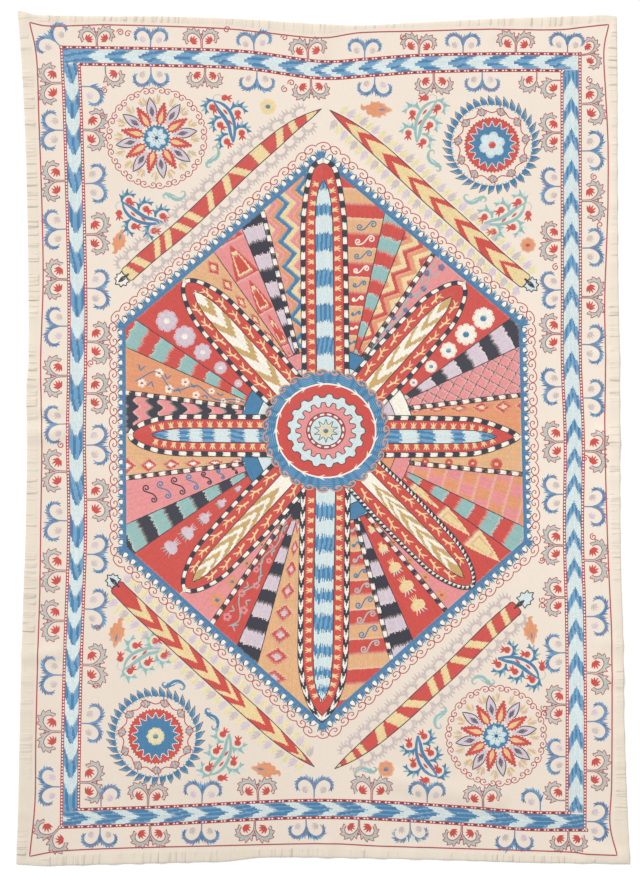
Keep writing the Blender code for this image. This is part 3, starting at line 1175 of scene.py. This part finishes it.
BLADE_SHAPE = ((0, 16), (0.02, 18), (0.1, 19), (0.6, 19), (0.78, 17.5), (0.88, 13), (0.95, 7), (1, 0))
BLADE_LEAD = 2
BLADE_TRAIL = 2.6


def blade(handle, tip, bow, stripes, beside_it, marks):
    """A long pointed blade, striped red and yellow, with a leaf at its handle."""
    straight, length = beside(smooth_path([handle, tip], 30))
    bowed = straight(np.linspace(0, length, len(bow)), np.array(bow, float))
    place, length = beside(smooth_path(bowed, 20))
    shape = [(share * length, half) for share, half in BLADE_SHAPE]
    red = CODES["red"]
    yellow = CODES["yellow"]

    def coloured(s, t):
        half = read_rows(shape, s)
        thread = np.full(np.shape(s), red if stripes == "slants" else yellow)
        for mark in marks:
            if stripes == "slants":
                middle = mix(mark[1], mark[0], (t + 11) / 22)
                thread = np.where(np.abs(s - middle) < mark[2] / 2, yellow, thread)
            else:
                begins = mark[0] - BLADE_TRAIL * np.abs(t)
                ends = mark[1] - BLADE_LEAD * np.abs(t)
                thread = np.where((s > begins) & (s < ends), red, thread)
        return np.where(np.abs(t) < half, thread, NOTHING)

    rows(place, length, -20, 20, coloured, None, 1.6, 1)
    s = np.linspace(0, length, 44)
    half = read_rows(shape, s)
    line("black", np.vstack([place(s, half), place(s, -half)[::-1]]), 2, 2, 12, True)
    pitch = 31 if beside_it == "feathers" else 18
    count = round(length / pitch)
    for side in (1, -1):
        for k in range(count):
            at = (k + 0.5) * length / count
            edge = float(read_rows(shape, at)) + 2.5
            if at > length - 24:
                continue
            if beside_it == "feathers":
                blade_feather(place, at, side, edge)
            else:
                blade_tuft(place, at, side, edge, ("straw", "mauve", "straw", "fawn")[(k + (side > 0)) % 4])
    blade_leaf(handle, tip)


FEATHER = (
    # the fringe's strokes: root and tip, each as along the blade and out from it
    ((-14, 6), (-23, 10)), ((-13, 12), (-21, 21)), ((-8, 17), (-13, 29)), ((-1, 19), (-3, 33)),
    ((5, 18), (7, 30)), ((10, 14), (17, 23)), ((13, 9), (20, 13)),
)


def blade_feather(place, at, side, edge):
    """A soft feather that arches over a bare round, beside the blade."""
    stray = CHANCE.uniform(-2, 2)
    arch = (-14, 1), (-14, 11), (-6 + stray, 19), (6 + stray, 18), (13, 10), (8, 4)
    stroke("fawn", [place(at + s, side * (edge + t)) for s, t in arch], (3, 6, 7.5, 6.5, 4, 1.5))
    for strand in FEATHER:
        ends = [place(at + s, side * (edge + t + CHANCE.uniform(-1, 1))) for s, t in strand]
        stroke("fawn", ends, (4.8, 3.8, 1), 0.3, 7)


def blade_tuft(place, at, side, edge, thread):
    """A small leaf of a few strokes, beside the blade."""
    stray = CHANCE.uniform(-2, 2)
    for spread, reach, width in ((-10, 16, 4), (-5.5, 25, 5), (0, 31, 5.6), (5.5, 26, 5), (10, 17, 4)):
        root = place(at + spread * 0.35, side * (edge + 3))
        end = place(at + spread - 4 + stray, side * (edge + reach))
        stroke(thread, [root, end], (width * 0.8, width, width, 1), 0, 6)


LEAF = (
    (0, -3), (7, 3), (17, 2), (14, 9), (19, 15), (13, 18), (14, 26), (7, 26), (2, 34), (-4, 27),
    (-12, 28), (-11, 20), (-18, 16), (-13, 10), (-16, 3), (-7, 4),
)


def blade_leaf(handle, tip):
    """The pale toothed leaf at a blade's handle, with its dark heart."""
    away = math.degrees(math.atan2(tip[1] - handle[1], tip[0] - handle[0])) + 90
    pale = "white" if handle[0] < 0 < handle[1] else "pale_blue"
    outline = np.array(LEAF, float)
    if handle[0] > 0 > handle[1]:
        outline = outline * (1, 1.3) + (0, 10)
    fill(put(outline, handle, away), away + 90, plain(pale), level=1)
    edge = closed(put(outline, handle, away))
    for start, end in zip(edge, edge[1:]):
        lay("black", [start, (start + end) / 2, end], 1.1, 2)
    stroke("black", put([(0, -8), (0, 4), (1, 13), (1, 25)], handle, away), (5, 5, 11, 9, 2), 2)


# Small filling motifs in the field
COMMAS = (
    ((-270, 688), 60, "teal", False), ((-364, 593), 0, "teal", False), ((272, 679), -60, "teal", True),
    ((372, 585), 0, "teal", True), ((-366, -605), 180, "blue", True), ((-272, -688), 120, "blue", True),
    ((392, -595), 170, "teal", False), ((287, -685), 245, "teal", False), ((103, -817), 190, "teal", False),
)
COMMA = (
    (13, 6), (16, 10), (21, 9), (23, 3), (19, -3), (12, -7), (3, -6), (-6, -1), (-13, 3), (-20, 4), (-24, 0),
    (-22, -5), (-18, -5),
)
BLOOMS = (
    # centre, radius, petals, thread, eye
    ((-135, 812), 21, 9, "yellow", "blue"),
    ((502, 473), 20, 8, "orange", "rust"),
    ((154, -811), 22, 8, "orange", "blue"),
)
COMMA_HAIRS = (((-15, 2), (-22, 11)), ((-8, 0), (-13, 9)), ((0, -5), (-1, 4)), ((-16, 0), (-13, -7)))
LEAFLETS = (
    ((-500, 482), -15, 0.82), ((132, 805), -92, 1), ((-505, -478), 170, 0.95), ((-141, -813), 82, 0.95),
    ((509, -473), 190, 0.88),
)


LEAFLET = (
    (-12, -38), (-4, -41), (3, -35), (3, -26), (12, -24), (14, -14), (20, -10), (18, 0), (21, 8),
    (14, 14), (15, 22), (7, 24), (5, 34), (0, 39), (-5, 32), (-9, 22), (-15, 20), (-14, 10), (-20, 4),
    (-17, -6), (-19, -14), (-11, -18), (-9, -27), (-5, -32), (-9, -33),
)


def stitch_fillers():
    for at, turn, thread, flip in COMMAS:
        widths = (2, 3.5, 5, 6, 7, 9.5, 12, 12, 10, 8, 6, 4, 2)
        stroke(thread, put(COMMA, at, turn, 1.15, flip), widths, 0, 4)
        for hair in COMMA_HAIRS:
            stroke(thread, put(hair, at, turn, 1, flip), (4.5, 1), 0, 6)
        stroke("pale_blue", put([(12, -5), (3, -4), (-7, 1)], at, turn, 1, flip), (1, 3, 1), 1)
    for row in BLOOMS:
        bloom(*row)
    for at, turn, size in LEAFLETS:
        outline = put(smooth_path(LEAFLET, 4, True), at, turn, size)
        fill(outline, turn + 90, plain("orange"), jag=1)
        stroke("slate", put([(0, 4), (0, 13), (0, 22)], at, turn, size), (2, 6, 2), 1)


# Panels in the gaps between the rays: a plan made for this cloth, of fans that spread from each gap's foot
FOOT_RADIUS = 150
CAP_RADII = (176, 214)
SEAM_WIDTH = 11
SEAM_DASHES = 30
# How much of an outer fan's slope the ray beside it hides, on its middle
RAY_SHARE = 0.07
GAPS = (
    # angles of the rays on both sides, the cap's threads, then fans from right to left:
    # share of the gap, field, its threads, motifs, their threads, seam on the left
    ((0, 48), ("mauve", "white"), (
        (0.25, "lozenges", ("orange", "red", "yellow"), "", (), "dashes"),
        (0.27, "lattice", ("pink", "black"), "", (), "line"),
        (0.16, "blocks", ("black", "mauve"), "", (), "line"),
        (0.32, "plain", ("red",), "blooms", ("white", "blue"), ""),
    )),
    ((48, 90.7), ("pale_blue", "blue"), (
        (0.27, "plain", ("pink",), "vine", ("teal", "blue"), "dashes"),
        (0.22, "zigzags", ("orange", "red", "yellow"), "", (), "line"),
        (0.15, "blocks", ("red", "teal"), "", (), "line"),
        (0.36, "blocks", ("tan", "red"), "horns", ("blue", "white"), ""),
    )),
    ((90.7, 132.7), ("mauve", "pink"), (
        (0.36, "zigzags", ("blue", "orange", "pink", "yellow"), "", (), "dashes"),
        (0.15, "blocks", ("mauve", "black"), "", (), "line"),
        (0.22, "triangles", ("pink", "red", "yellow"), "", (), "line"),
        (0.27, "lozenges", ("tan", "red", "yellow"), "", (), ""),
    )),
    ((132.7, 179.3), ("pale_blue", "blue"), (
        (0.34, "plain", ("red",), "blooms", ("mauve", "white"), "line"),
        (0.16, "blocks", ("teal", "red"), "", (), "line"),
        (0.25, "plain", ("orange",), "vine", ("blue", "white"), "dashes"),
        (0.25, "waves", ("pink", "black"), "", (), ""),
    )),
    ((179.3, 227.2), ("pale_blue", "blue"), (
        (0.26, "lozenges", ("tan", "red", "white"), "", (), "dashes"),
        (0.25, "plain", ("pink",), "horns", ("black", "blue"), "line"),
        (0.16, "blocks", ("teal", "black"), "", (), "line"),
        (0.33, "plain", ("red",), "fruits", ("mauve", "teal"), ""),
    )),
    ((227.2, 269.1), ("mauve", "black"), (
        (0.27, "plain", ("pink",), "blooms", ("orange", "blue"), "dashes"),
        (0.2, "plain", ("red",), "vine", ("teal", "pink"), "line"),
        (0.15, "blocks", ("mauve", "black"), "", (), "line"),
        (0.38, "lozenges", ("tan", "red", "mauve"), "", (), ""),
    )),
    ((269.1, 314.4), ("pale_blue", "blue"), (
        (0.38, "blocks", ("red", "tan"), "horns", ("grey_green", "blue"), "dashes"),
        (0.15, "blocks", ("black", "mauve"), "", (), "line"),
        (0.25, "plain", ("red",), "fruits", ("yellow", "pale_blue"), "dashes"),
        (0.22, "plain", ("pink",), "blooms", ("orange", "red"), ""),
    )),
    ((314.4, 360), ("orange", "pink"), (
        (0.3, "triangles", ("red", "yellow", "tan"), "", (), "line"),
        (0.16, "blocks", ("teal", "red"), "", (), "line"),
        (0.3, "checks", ("pink", "orange"), "", (), "dashes"),
        (0.24, "plain", ("tan",), "blooms", ("red", "yellow"), ""),
    )),
)


def field_colours(kind, threads, steep):
    """The colours of one fan, read from its foot: s along its middle and t across it."""
    codes = np.array([CODES[name] for name in threads])
    count = len(codes)

    def plain_field(s, t):
        return np.full(np.shape(s), codes[0])

    def block_field(s, t):
        return codes[np.floor(s / 36).astype(int) % count]

    def zigzag_field(s, t):
        shifted = t + 30 * np.abs(2 * np.mod(s / 62, 1) - 1)
        return codes[np.floor(shifted / 15).astype(int) % count]

    def lozenge_field(s, t):
        pitch = 54
        far = np.abs(np.mod(s, pitch) - pitch / 2) / (pitch * 0.42)
        wide = np.abs(t) / np.maximum(0.72 * steep * s, 8)
        reach = far + wide + 0.07 * np.where(np.mod(s / 4.6, 1) < 0.5, 1, -1)
        return np.where(reach < 0.42, codes[2], np.where(reach < 0.95, codes[1], codes[0]))

    def lattice_field(s, t):
        on_line = (np.mod(s + t, 34) < 2.6) | (np.mod(s - t, 34) < 2.6)
        return np.where(on_line, codes[1], codes[0])

    def wave_field(s, t):
        shifted = s + 7 * np.sin(t / 4.5)
        return codes[np.floor(shifted / 30).astype(int) % count]

    def triangle_field(s, t):
        pitch = 96
        into = np.mod(s, pitch) / pitch
        reach = np.abs(t) / np.maximum(steep * s, 6) / np.maximum(0.95 - into, 0.01)
        inner = (reach < 0.5) & (into < 0.62) & (into > 0.14)
        border = (reach < 0.66) & (into < 0.72) & (into > 0.09)
        outer = reach < 1
        return np.where(inner, codes[1], np.where(border, codes[2], np.where(outer, codes[1], codes[0])))

    def check_field(s, t):
        return codes[(np.floor(s / 40) + np.floor(t / 28)).astype(int) % count]

    return {
        "plain": plain_field, "blocks": block_field, "zigzags": zigzag_field, "lozenges": lozenge_field,
        "lattice": lattice_field, "waves": wave_field, "triangles": triangle_field, "checks": check_field,
    }[kind]


def pomegranate(centre, size, turn, thread, leaf):
    """A broad pomegranate with a root of prongs and a little leafy cap."""
    body = [(-15, 2), (-13, 9), (0, 11), (13, 9), (15, 2), (11, -6), (0, -8), (-11, -6)]
    fill(put(smooth_path(body, 6, True), centre, turn, size), turn, plain(thread), level=1)
    for x in (-7, -2.5, 2.5, 7):
        stroke(thread, put([(x * 0.4, -7), (x, -20)], centre, turn, size), (3.4, 1.2), 1, 6)
    for x in (-12, -4, 4, 12):
        stroke(leaf, put([(x * 0.6, 11), (x, 19)], centre, turn, size), (3.2, 1.2), 1.4, 6)


# A small scroll, curled at both ends
HORN_WIDTH = 44
HORN_HEIGHT = 22
HORN_CURL = 0.27 * HORN_HEIGHT
HORN_CENTRES = (
    (0.2 * HORN_WIDTH, HORN_CURL * 1.1),
    (0.42 * HORN_WIDTH, 0.18 * HORN_HEIGHT),
    (0.78 * HORN_WIDTH, HORN_HEIGHT - HORN_CURL * 1.25),
)
HORN = np.vstack([
    spiral(HORN_CENTRES[0], HORN_CURL, -90, -1.2, 11)[::-1],
    HORN_CENTRES[1],
    spiral(HORN_CENTRES[2], HORN_CURL * 1.25, 170, -1.35, 13),
]) - (HORN_WIDTH / 2, HORN_HEIGHT / 2)


def fan_motifs(kind, threads, place, steep, length):
    """Motifs down the middle of a fan, sized to its width."""
    if kind == "vine":
        s = np.linspace(60, length - 14, 30)
        line(threads[0], place(s, 0.42 * steep * s * np.sin(s / 17)), 3.2, 1, 8)
        eye = "red" if threads[1] != "pink" else "rust"
        for k, at in enumerate(np.arange(84, length - 12, 34)):
            side = 1 if k % 2 else -1
            radius = min(12, 4 + 0.24 * steep * at)
            bloom(place(at, side * 0.4 * steep * at), radius, 5, threads[1], eye, 1)
            for lean in (-9, 9):
                root = place(at + 12, -side * 0.2 * steep * at)
                tip = place(at + 12 + lean, -side * 0.55 * steep * at)
                stroke(threads[0], [root, tip], (2, 4.4, 1.2), 1, 6)
        return
    begin, pitch = {"horns": (90, 36), "blooms": (104, 58), "fruits": (104, 54)}[kind]
    for k, at in enumerate(np.arange(begin, length - 16, pitch)):
        centre = place(float(at), 0)
        ahead = place(at + 1.0, 0) - centre
        turn = math.degrees(math.atan2(ahead[1], ahead[0]))
        size = float(np.clip(steep * at / 27, 0.45, 1.25))
        if kind == "blooms":
            bloom(centre, 23 * size, 8, threads[0], threads[1], 1, turn)
        elif kind == "fruits":
            pomegranate(centre, size, turn - 90, threads[0], threads[1])
        else:
            line(threads[k % 2], put(HORN, centre, turn - 90, size), 3.4, 1)


def stitch_gap(angles, caps, fans):
    """The fans and caps in the gap between two rays."""
    middle = math.radians(sum(angles) / 2)
    centre = np.asarray(RAY_CENTRE, float)
    foot = centre + FOOT_RADIUS * np.array([math.cos(middle), math.sin(middle)])
    in_hexagon = in_polygon(np.asarray(HEXAGON) * 1.008)

    def outside_cap(x, y):
        return in_hexagon(x, y) & (np.hypot(x - centre[0], y - centre[1]) > CAP_RADII[1])

    share = 0
    for k, (width, kind, threads, motifs, motif_threads, seam) in enumerate(fans):
        first = hexagon_point(mix(*angles, share)) - foot
        share += width
        last = hexagon_point(mix(*angles, min(share, 1))) - foot
        low = math.atan2(first[1], first[0])
        high = math.atan2(last[1], last[0])
        if high < low:
            high += 2 * math.pi
        bearing = (low + high) / 2
        steep = math.tan((high - low) / 2)
        polygon = [foot, foot + first * 1.4, foot + last * 1.4]
        aside = {0: RAY_SHARE, len(fans) - 1: -RAY_SHARE}.get(k, 0)
        shown = steep - abs(aside)
        colours = field_colours(kind, threads, shown)
        jag = 3.5 if kind == "blocks" and width < 0.17 else 1

        def coloured(s, t, colours=colours, aside=aside):
            return colours(s, t - aside * s)

        fill(polygon, math.degrees(bearing), coloured, outside_cap, jag, 0, foot)
        along = np.array([math.cos(bearing), math.sin(bearing)])

        def place(s, t, along=along, aside=aside):
            t = t + aside * s
            return as_points(foot[0] + s * along[0] - t * along[1], foot[1] + s * along[1] + t * along[0])

        length = float(min(np.dot(first, along), np.dot(last, along)))
        if motifs:
            fan_motifs(motifs, motif_threads, place, shown, length)
        if seam:
            stitch_seam(foot, foot + last, seam)
    for k, thread in enumerate(caps):
        inner = (FOOT_RADIUS - 30, CAP_RADII[0])[k]
        outer = CAP_RADII[k]

        def in_cap(x, y, inner=inner, outer=outer):
            away = np.hypot(x - centre[0], y - centre[1])
            return (away > inner) & (away <= outer)

        wide = [hexagon_point(angle) for angle in (angles[0], sum(angles) / 2, angles[1])]
        fill([centre, *wide], math.degrees(middle) + 90, plain(thread), in_cap)
        line("black", arc(centre, outer, np.radians(np.linspace(*angles, 14))), 2, 1, 9)


def stitch_seam(start, end, kind):
    """What divides two fans: a thin dark line, or a row of dashes between two."""
    reach = np.asarray(end, float) - start
    start = start + reach * (CAP_RADII[1] - FOOT_RADIUS) / math.hypot(*reach)
    if kind == "line":
        line("black", [start, end], 2.2, 1, 20)
        return
    place, length = beside(smooth_path([start, end], 20))

    def dashes(s, t):
        return np.where(np.mod(s, SEAM_DASHES) < SEAM_DASHES / 2, CODES["black"], CODES["white"])

    rows(place, length, -SEAM_WIDTH / 2, SEAM_WIDTH / 2, dashes, None, 1, 0.8)
    for side in (-SEAM_WIDTH / 2, SEAM_WIDTH / 2):
        line("black", [place(0, side), place(length, side)], 1.8, 1.5, 20)


def mm_mesh(name, points, quads):
    """A mesh from points in mm and faces of four."""
    mesh = bpy.data.meshes.new(name)
    mesh.vertices.add(len(points))
    mesh.vertices.foreach_set("co", (np.asarray(points) * MM).astype(np.float32).ravel())
    mesh.loops.add(4 * len(quads))
    mesh.loops.foreach_set("vertex_index", np.asarray(quads, np.int32).ravel())
    mesh.polygons.add(len(quads))
    mesh.polygons.foreach_set("loop_start", np.arange(0, 4 * len(quads), 4, dtype=np.int32))
    mesh.update(calc_edges=True)
    mesh.shade_smooth()
    piece = bpy.data.objects.new(name, mesh)
    bpy.context.scene.collection.objects.link(piece)
    return piece


def add_uv(mesh, name, across, along):
    """A UV map from a pair of values at each vertex."""
    corners = np.empty(len(mesh.loops), np.int32)
    mesh.loops.foreach_get("vertex_index", corners)
    layer = mesh.uv_layers.new(name=name)
    pairs = np.column_stack([across, along])[corners]
    layer.data.foreach_set("uv", pairs.astype(np.float32).ravel())


def thread_piece(name, stitches):
    """All of one thread's stitches as one mesh. Each is a low ridge, three points wide."""
    by_count = {}
    for stitch in stitches:
        by_count.setdefault(len(stitch[0]), []).append(stitch)
    points = []
    quads = []
    along_thread = []
    across_thread = []
    shades = []
    base = 0
    for count, group in sorted(by_count.items()):
        path = np.stack([stitch[0] for stitch in group])
        half = np.stack([stitch[1] for stitch in group])
        level = np.array([stitch[2] for stitch in group], float)[:, None]
        slope = np.gradient(path, axis=1)
        slope /= np.maximum(np.linalg.norm(slope, axis=2, keepdims=True), 1e-9)
        side = np.stack([-slope[..., 1], slope[..., 0]], axis=2) * half[..., None]
        low = cloth_top(path[..., 0], path[..., 1]) + level * LAYER - SUNK
        high = low + SUNK + RIDGE * np.clip(half / 1.1, 0.25, 1.3)
        left = np.dstack([path + side, low])
        ridge = np.dstack([path, high])
        right = np.dstack([path - side, low])
        points.append(np.stack([left, ridge, right], axis=2).reshape(-1, 3))
        strands = len(group)
        first = base + np.arange(strands)[:, None] * count * 3 + np.arange(count - 1)[None] * 3
        first = first.ravel()
        quads.append(np.column_stack([first + 1, first + 4, first + 3, first]))
        quads.append(np.column_stack([first + 2, first + 5, first + 4, first + 1]))
        step = np.linalg.norm(np.diff(path, axis=1), axis=2)
        run = np.concatenate([np.zeros((strands, 1)), np.cumsum(step, axis=1)], axis=1)
        along_thread.append(np.repeat(run.ravel(), 3))
        across_thread.append(np.tile([0.0, 0.5, 1.0], strands * count))
        shades.append(np.repeat(CHANCE.random(strands), count * 3))
        base += strands * count * 3
    points = np.vstack(points)
    piece = mm_mesh(name, points, np.vstack(quads))
    mesh = piece.data
    add_uv(mesh, "thread", np.concatenate(along_thread) / 10, np.concatenate(across_thread))
    flat_x = points[:, 0] / (CLOTH_WIDTH + 20) + 0.5
    flat_y = points[:, 1] / (CLOTH_LENGTH + 20) + 0.5
    add_uv(mesh, "OFBake", flat_x, flat_y)
    mesh.uv_layers.active = mesh.uv_layers["thread"]
    mesh.uv_layers["thread"].active_render = True
    shade = mesh.attributes.new("shade", "FLOAT", "POINT")
    shade.data.foreach_set("value", np.concatenate(shades).astype(np.float32))
    return piece


def margin_gap(x, y):
    """How far a place is outside the margin's running line, in mm; below 0 inside it."""
    left = read_rows(LINE_LEFT, y) - x
    right = x - read_rows(LINE_RIGHT, y)
    top = y - read_rows(LINE_TOP, x)
    bottom = read_rows(LINE_BOTTOM, x) - y
    return np.maximum(np.maximum(left, right), np.maximum(top, bottom))


def cloth_piece():
    """The silk ground with its hem, one closed sheet on the solid's folds."""
    u, v = np.meshgrid(GRID_U, GRID_V, indexing="ij")
    across, along = u.shape
    x, y = on_cloth(u, v)
    under = lift(u, v)
    edge_gap = np.minimum(np.minimum(u, 1 - u) * CLOTH_WIDTH, np.minimum(v, 1 - v) * CLOTH_LENGTH)
    hem = smooth((margin_gap(x, y) - 8) / 5)
    fine = 0.2 * np.sin(x / 4.1 + 2 * np.sin(y / 37)) * np.sin(y / 4.3 + 2 * np.sin(x / 41))
    fine = fine * (1 - smooth(edge_gap / 45)) * hem
    round_edge = 0.7 * (1 - smooth(edge_gap / 4))
    top = under + CLOTH_THICKNESS + 0.5 * hem + fine - round_edge
    face = np.stack([x, y, top], axis=-1).reshape(-1, 3)
    back = np.stack([x, y, under + round_edge * 0.6], axis=-1).reshape(-1, 3)
    index = np.arange(across * along).reshape(across, along)
    a, b = index[:-1, :-1].ravel(), index[1:, :-1].ravel()
    c, d = index[1:, 1:].ravel(), index[:-1, 1:].ravel()
    count = across * along
    quads = [np.column_stack([a, b, c, d]), np.column_stack([d, c, b, a]) + count]
    rims = (index[:, 0], index[-1, :], index[::-1, -1], index[0, ::-1])
    for rim in rims:
        quads.append(np.column_stack([rim[:-1] + count, rim[1:] + count, rim[1:], rim[:-1]]))
    piece = mm_mesh("silk_cloth", np.vstack([face, back]), np.vstack(quads))
    tone = piece.data.attributes.new("hem", "FLOAT", "POINT")
    tone.data.foreach_set("value", np.tile(hem.ravel(), 2).astype(np.float32))
    return piece


def linear(text):
    """A colour written as sRGB hex, as linear RGBA."""
    parts = [int(text[k : k + 2], 16) / 255 for k in (1, 3, 5)]
    parts = [v / 12.92 if v <= 0.04045 else ((v + 0.055) / 1.055) ** 2.4 for v in parts]
    return (*parts, 1)


def connect(tree, made, inputs):
    """Gives each of a node's inputs a value, or a link from a socket or from a node's first output."""
    for name, value in inputs.items():
        if isinstance(value, bpy.types.Node):
            value = value.outputs[0]
        if isinstance(value, bpy.types.NodeSocket):
            tree.links.new(value, made.inputs[name])
        else:
            made.inputs[name].default_value = value


def node(tree, kind, inputs=None, **settings):
    """Adds a shader node with its settings and links."""
    made = tree.nodes.new("ShaderNode" + kind)
    for name, value in settings.items():
        setattr(made, name, value)
    connect(tree, made, inputs or {})
    return made


def new_material(name):
    material = bpy.data.materials.new(name)
    material.use_nodes = True
    tree = material.node_tree
    return material, tree, tree.nodes["Principled BSDF"]


def toned(tree, colour, tones):
    """A colour whose light is scaled by each of the tones: what is read, its range, then two shares."""
    tone = 1.0
    for value, low, high, least, most in tones:
        share = node(tree, "MapRange", {0: value, 1: low, 2: high, 3: least, 4: most})
        tone = node(tree, "Math", {0: tone, 1: share}, operation="MULTIPLY")
    return node(tree, "VectorMath", {0: colour, "Scale": tone}, operation="SCALE")


def silk_ground():
    """Undyed plain-woven silk: a soft sheen, slubs that run both ways, and a tanner turned hem. Its colour
    also holds painted shade: darker in the hem's gathers and towards the bottom, a little lighter towards
    the right.
    """
    material, tree, shader = new_material("undyed plain-woven silk")
    place = node(tree, "TexCoord").outputs["Object"]
    across, along, _ = node(tree, "SeparateXYZ", {0: place}).outputs
    hem = node(tree, "Attribute", attribute_name="hem").outputs["Fac"]

    def both_ways(fine, coarse, detail):
        noise = []
        for scale in ((fine, coarse, 1), (coarse, fine, 1)):
            stretched = node(tree, "Mapping", {"Vector": place, "Scale": scale})
            noise.append(node(tree, "TexNoise", {"Vector": stretched, "Scale": 1.0, "Detail": detail}))
        return noise

    slubs = both_ways(900, 40, 2.0)
    weave = node(tree, "Math", {0: slubs[0], 1: slubs[1]}, operation="ADD")
    clouds = node(tree, "TexNoise", {"Vector": place, "Scale": 2.2, "Detail": 2.0})

    # The hem's gathers, in groups: they cross the side hems one way and the end hems the other. They bump
    # the hem, and also darken its colour as painted shade in their creases.
    gathers = both_ways(85, 9, 1.0)
    off_middle = node(tree, "Math", {0: across}, operation="ABSOLUTE")
    at_side = node(tree, "MapRange", {0: off_middle, 1: 0.67, 2: 0.68})
    chosen = node(tree, "Mix", {0: at_side, 2: gathers[0], 3: gathers[1]})
    sharp = node(tree, "MapRange", {0: chosen, 1: 0.5, 2: 0.72})
    patches = node(tree, "TexNoise", {"Vector": place, "Scale": 6.0, "Detail": 1.0})
    grouped = node(tree, "MapRange", {0: patches, 1: 0.36, 2: 0.56})
    on_hem = node(tree, "Math", {0: grouped, 1: hem}, operation="MULTIPLY")
    gathered = node(tree, "Math", {0: sharp, 1: on_hem}, operation="MULTIPLY")

    base = node(tree, "Mix", {0: hem, 6: linear(SILK), 7: linear(FACING)}, data_type="RGBA")
    tones = (
        (weave, 0.6, 1.4, 0.95, 1.04),
        (clouds, 0.3, 0.7, 0.975, 1.02),
        # painted shade and light: darker towards the bottom edge and a little lighter towards the right, as
        # the light falls across the cloth
        (along, -1, -0.1, 0.9, 1),
        (across, -0.7, 0.7, 0.985, 1.025),
        # painted shade: the gathers' creases are darker in the colour
        (gathered, 0, 1, 1, 0.9),
    )
    woven = node(tree, "Bump", {"Height": weave, "Strength": 0.25, "Distance": 0.0003})
    deeper = {"Height": gathered, "Normal": woven, "Strength": 0.9, "Distance": 0.003}
    connect(tree, shader, {
        "Base Color": toned(tree, base.outputs[2], tones),
        "Normal": node(tree, "Bump", deeper),
        "Roughness": 0.6,
        "Sheen Weight": 0.08,
    })
    return material


def floss_silk(name, colour):
    """Floss silk: strands that differ a little in tone, with the slant of their twist, and a sheen. Painted
    shade darkens it towards the cloth's bottom edge.
    """
    material, tree, shader = new_material(name + " floss silk")
    place = node(tree, "TexCoord").outputs["Object"]
    tones = (
        (node(tree, "Attribute", attribute_name="shade").outputs["Fac"], 0, 1, 0.95, 1.05),
        (node(tree, "TexNoise", {"Vector": place, "Scale": 260.0, "Detail": 1.0}), 0.32, 0.68, 0.93, 1.08),
        # painted shade: the threads darken towards the cloth's bottom edge
        (node(tree, "SeparateXYZ", {0: place}).outputs[1], -1, -0.7, 0.86, 1),
    )
    wave = {"Vector": node(tree, "UVMap", uv_map="thread"), "Scale": 1.6, "Distortion": 0.6}
    twist = node(tree, "TexWave", wave, wave_type="BANDS", bands_direction="DIAGONAL").outputs["Fac"]
    connect(tree, shader, {
        "Base Color": toned(tree, linear(colour)[:3], tones),
        "Normal": node(tree, "Bump", {"Height": twist, "Strength": 0.3, "Distance": 0.0002}),
        "Roughness": 0.5,
        "Sheen Weight": 0.1,
    })
    return material


# The whole cloth
stitch_margin_line()
stitch_band()
stitch_hexagon()
stitch_rings()
for gap in GAPS:
    stitch_gap(*gap)
for ray in RAYS:
    stitch_ray(*ray)
stitch_scrolls()
for centre in STAR_ROSETTES:
    star_rosette(centre)
wheel_rosette(WHEEL_ROSETTES[0], (34, 6, "pale_blue", "red"))
wheel_rosette(WHEEL_ROSETTES[1], (23, 9, "straw", "blue"))
for row in SPRIGS:
    sprig(*row)
for row in BLADES:
    blade(*row)
stitch_fillers()

cloth = cloth_piece()
cloth.data.materials.append(silk_ground())
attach(cloth, "root")
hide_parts("ground_cloth")

for name in NAMES:
    piece = thread_piece(name + "_stitches", laid[name])
    piece.data.materials.append(floss_silk(name, THREADS[name]))
    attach(piece, "root")

# The floor, the light and the camera
FLOOR_SIZE = 12
FLOOR_DEPTH = 0.0005
WORLD_LIGHT = 0.68
SUN_LIGHT = 1.82
SUN_TURN = (math.radians(-38), math.radians(-30), 0)
SUN_SPREAD = math.radians(25)
CAMERA_PLACE = (-0.0075, 0.0011, 5.064)
LENS = 85
SENSOR = 36

bpy.ops.mesh.primitive_plane_add(size=FLOOR_SIZE, location=(0, 0, -FLOOR_DEPTH))
floor = bpy.context.object
floor.name = "floor"
paper, _, paper_shader = new_material("white paper floor")
connect(None, paper_shader, {"Base Color": (0.97, 0.97, 0.97, 1), "Roughness": 0.9})
floor.data.materials.append(paper)

world = bpy.data.worlds.new("soft studio")
bpy.context.scene.world = world
world.use_nodes = True
connect(None, world.node_tree.nodes["Background"], {0: (1, 1, 1, 1), 1: WORLD_LIGHT})

bpy.ops.object.light_add(type="SUN", rotation=SUN_TURN)
sun = bpy.context.object
sun.data.energy = SUN_LIGHT
sun.data.angle = SUN_SPREAD

bpy.ops.object.camera_add(location=CAMERA_PLACE)
camera = bpy.context.object
camera.data.lens = LENS
camera.data.sensor_width = SENSOR
bpy.context.scene.camera = camera
bpy.context.scene.view_settings.view_transform = "Standard"
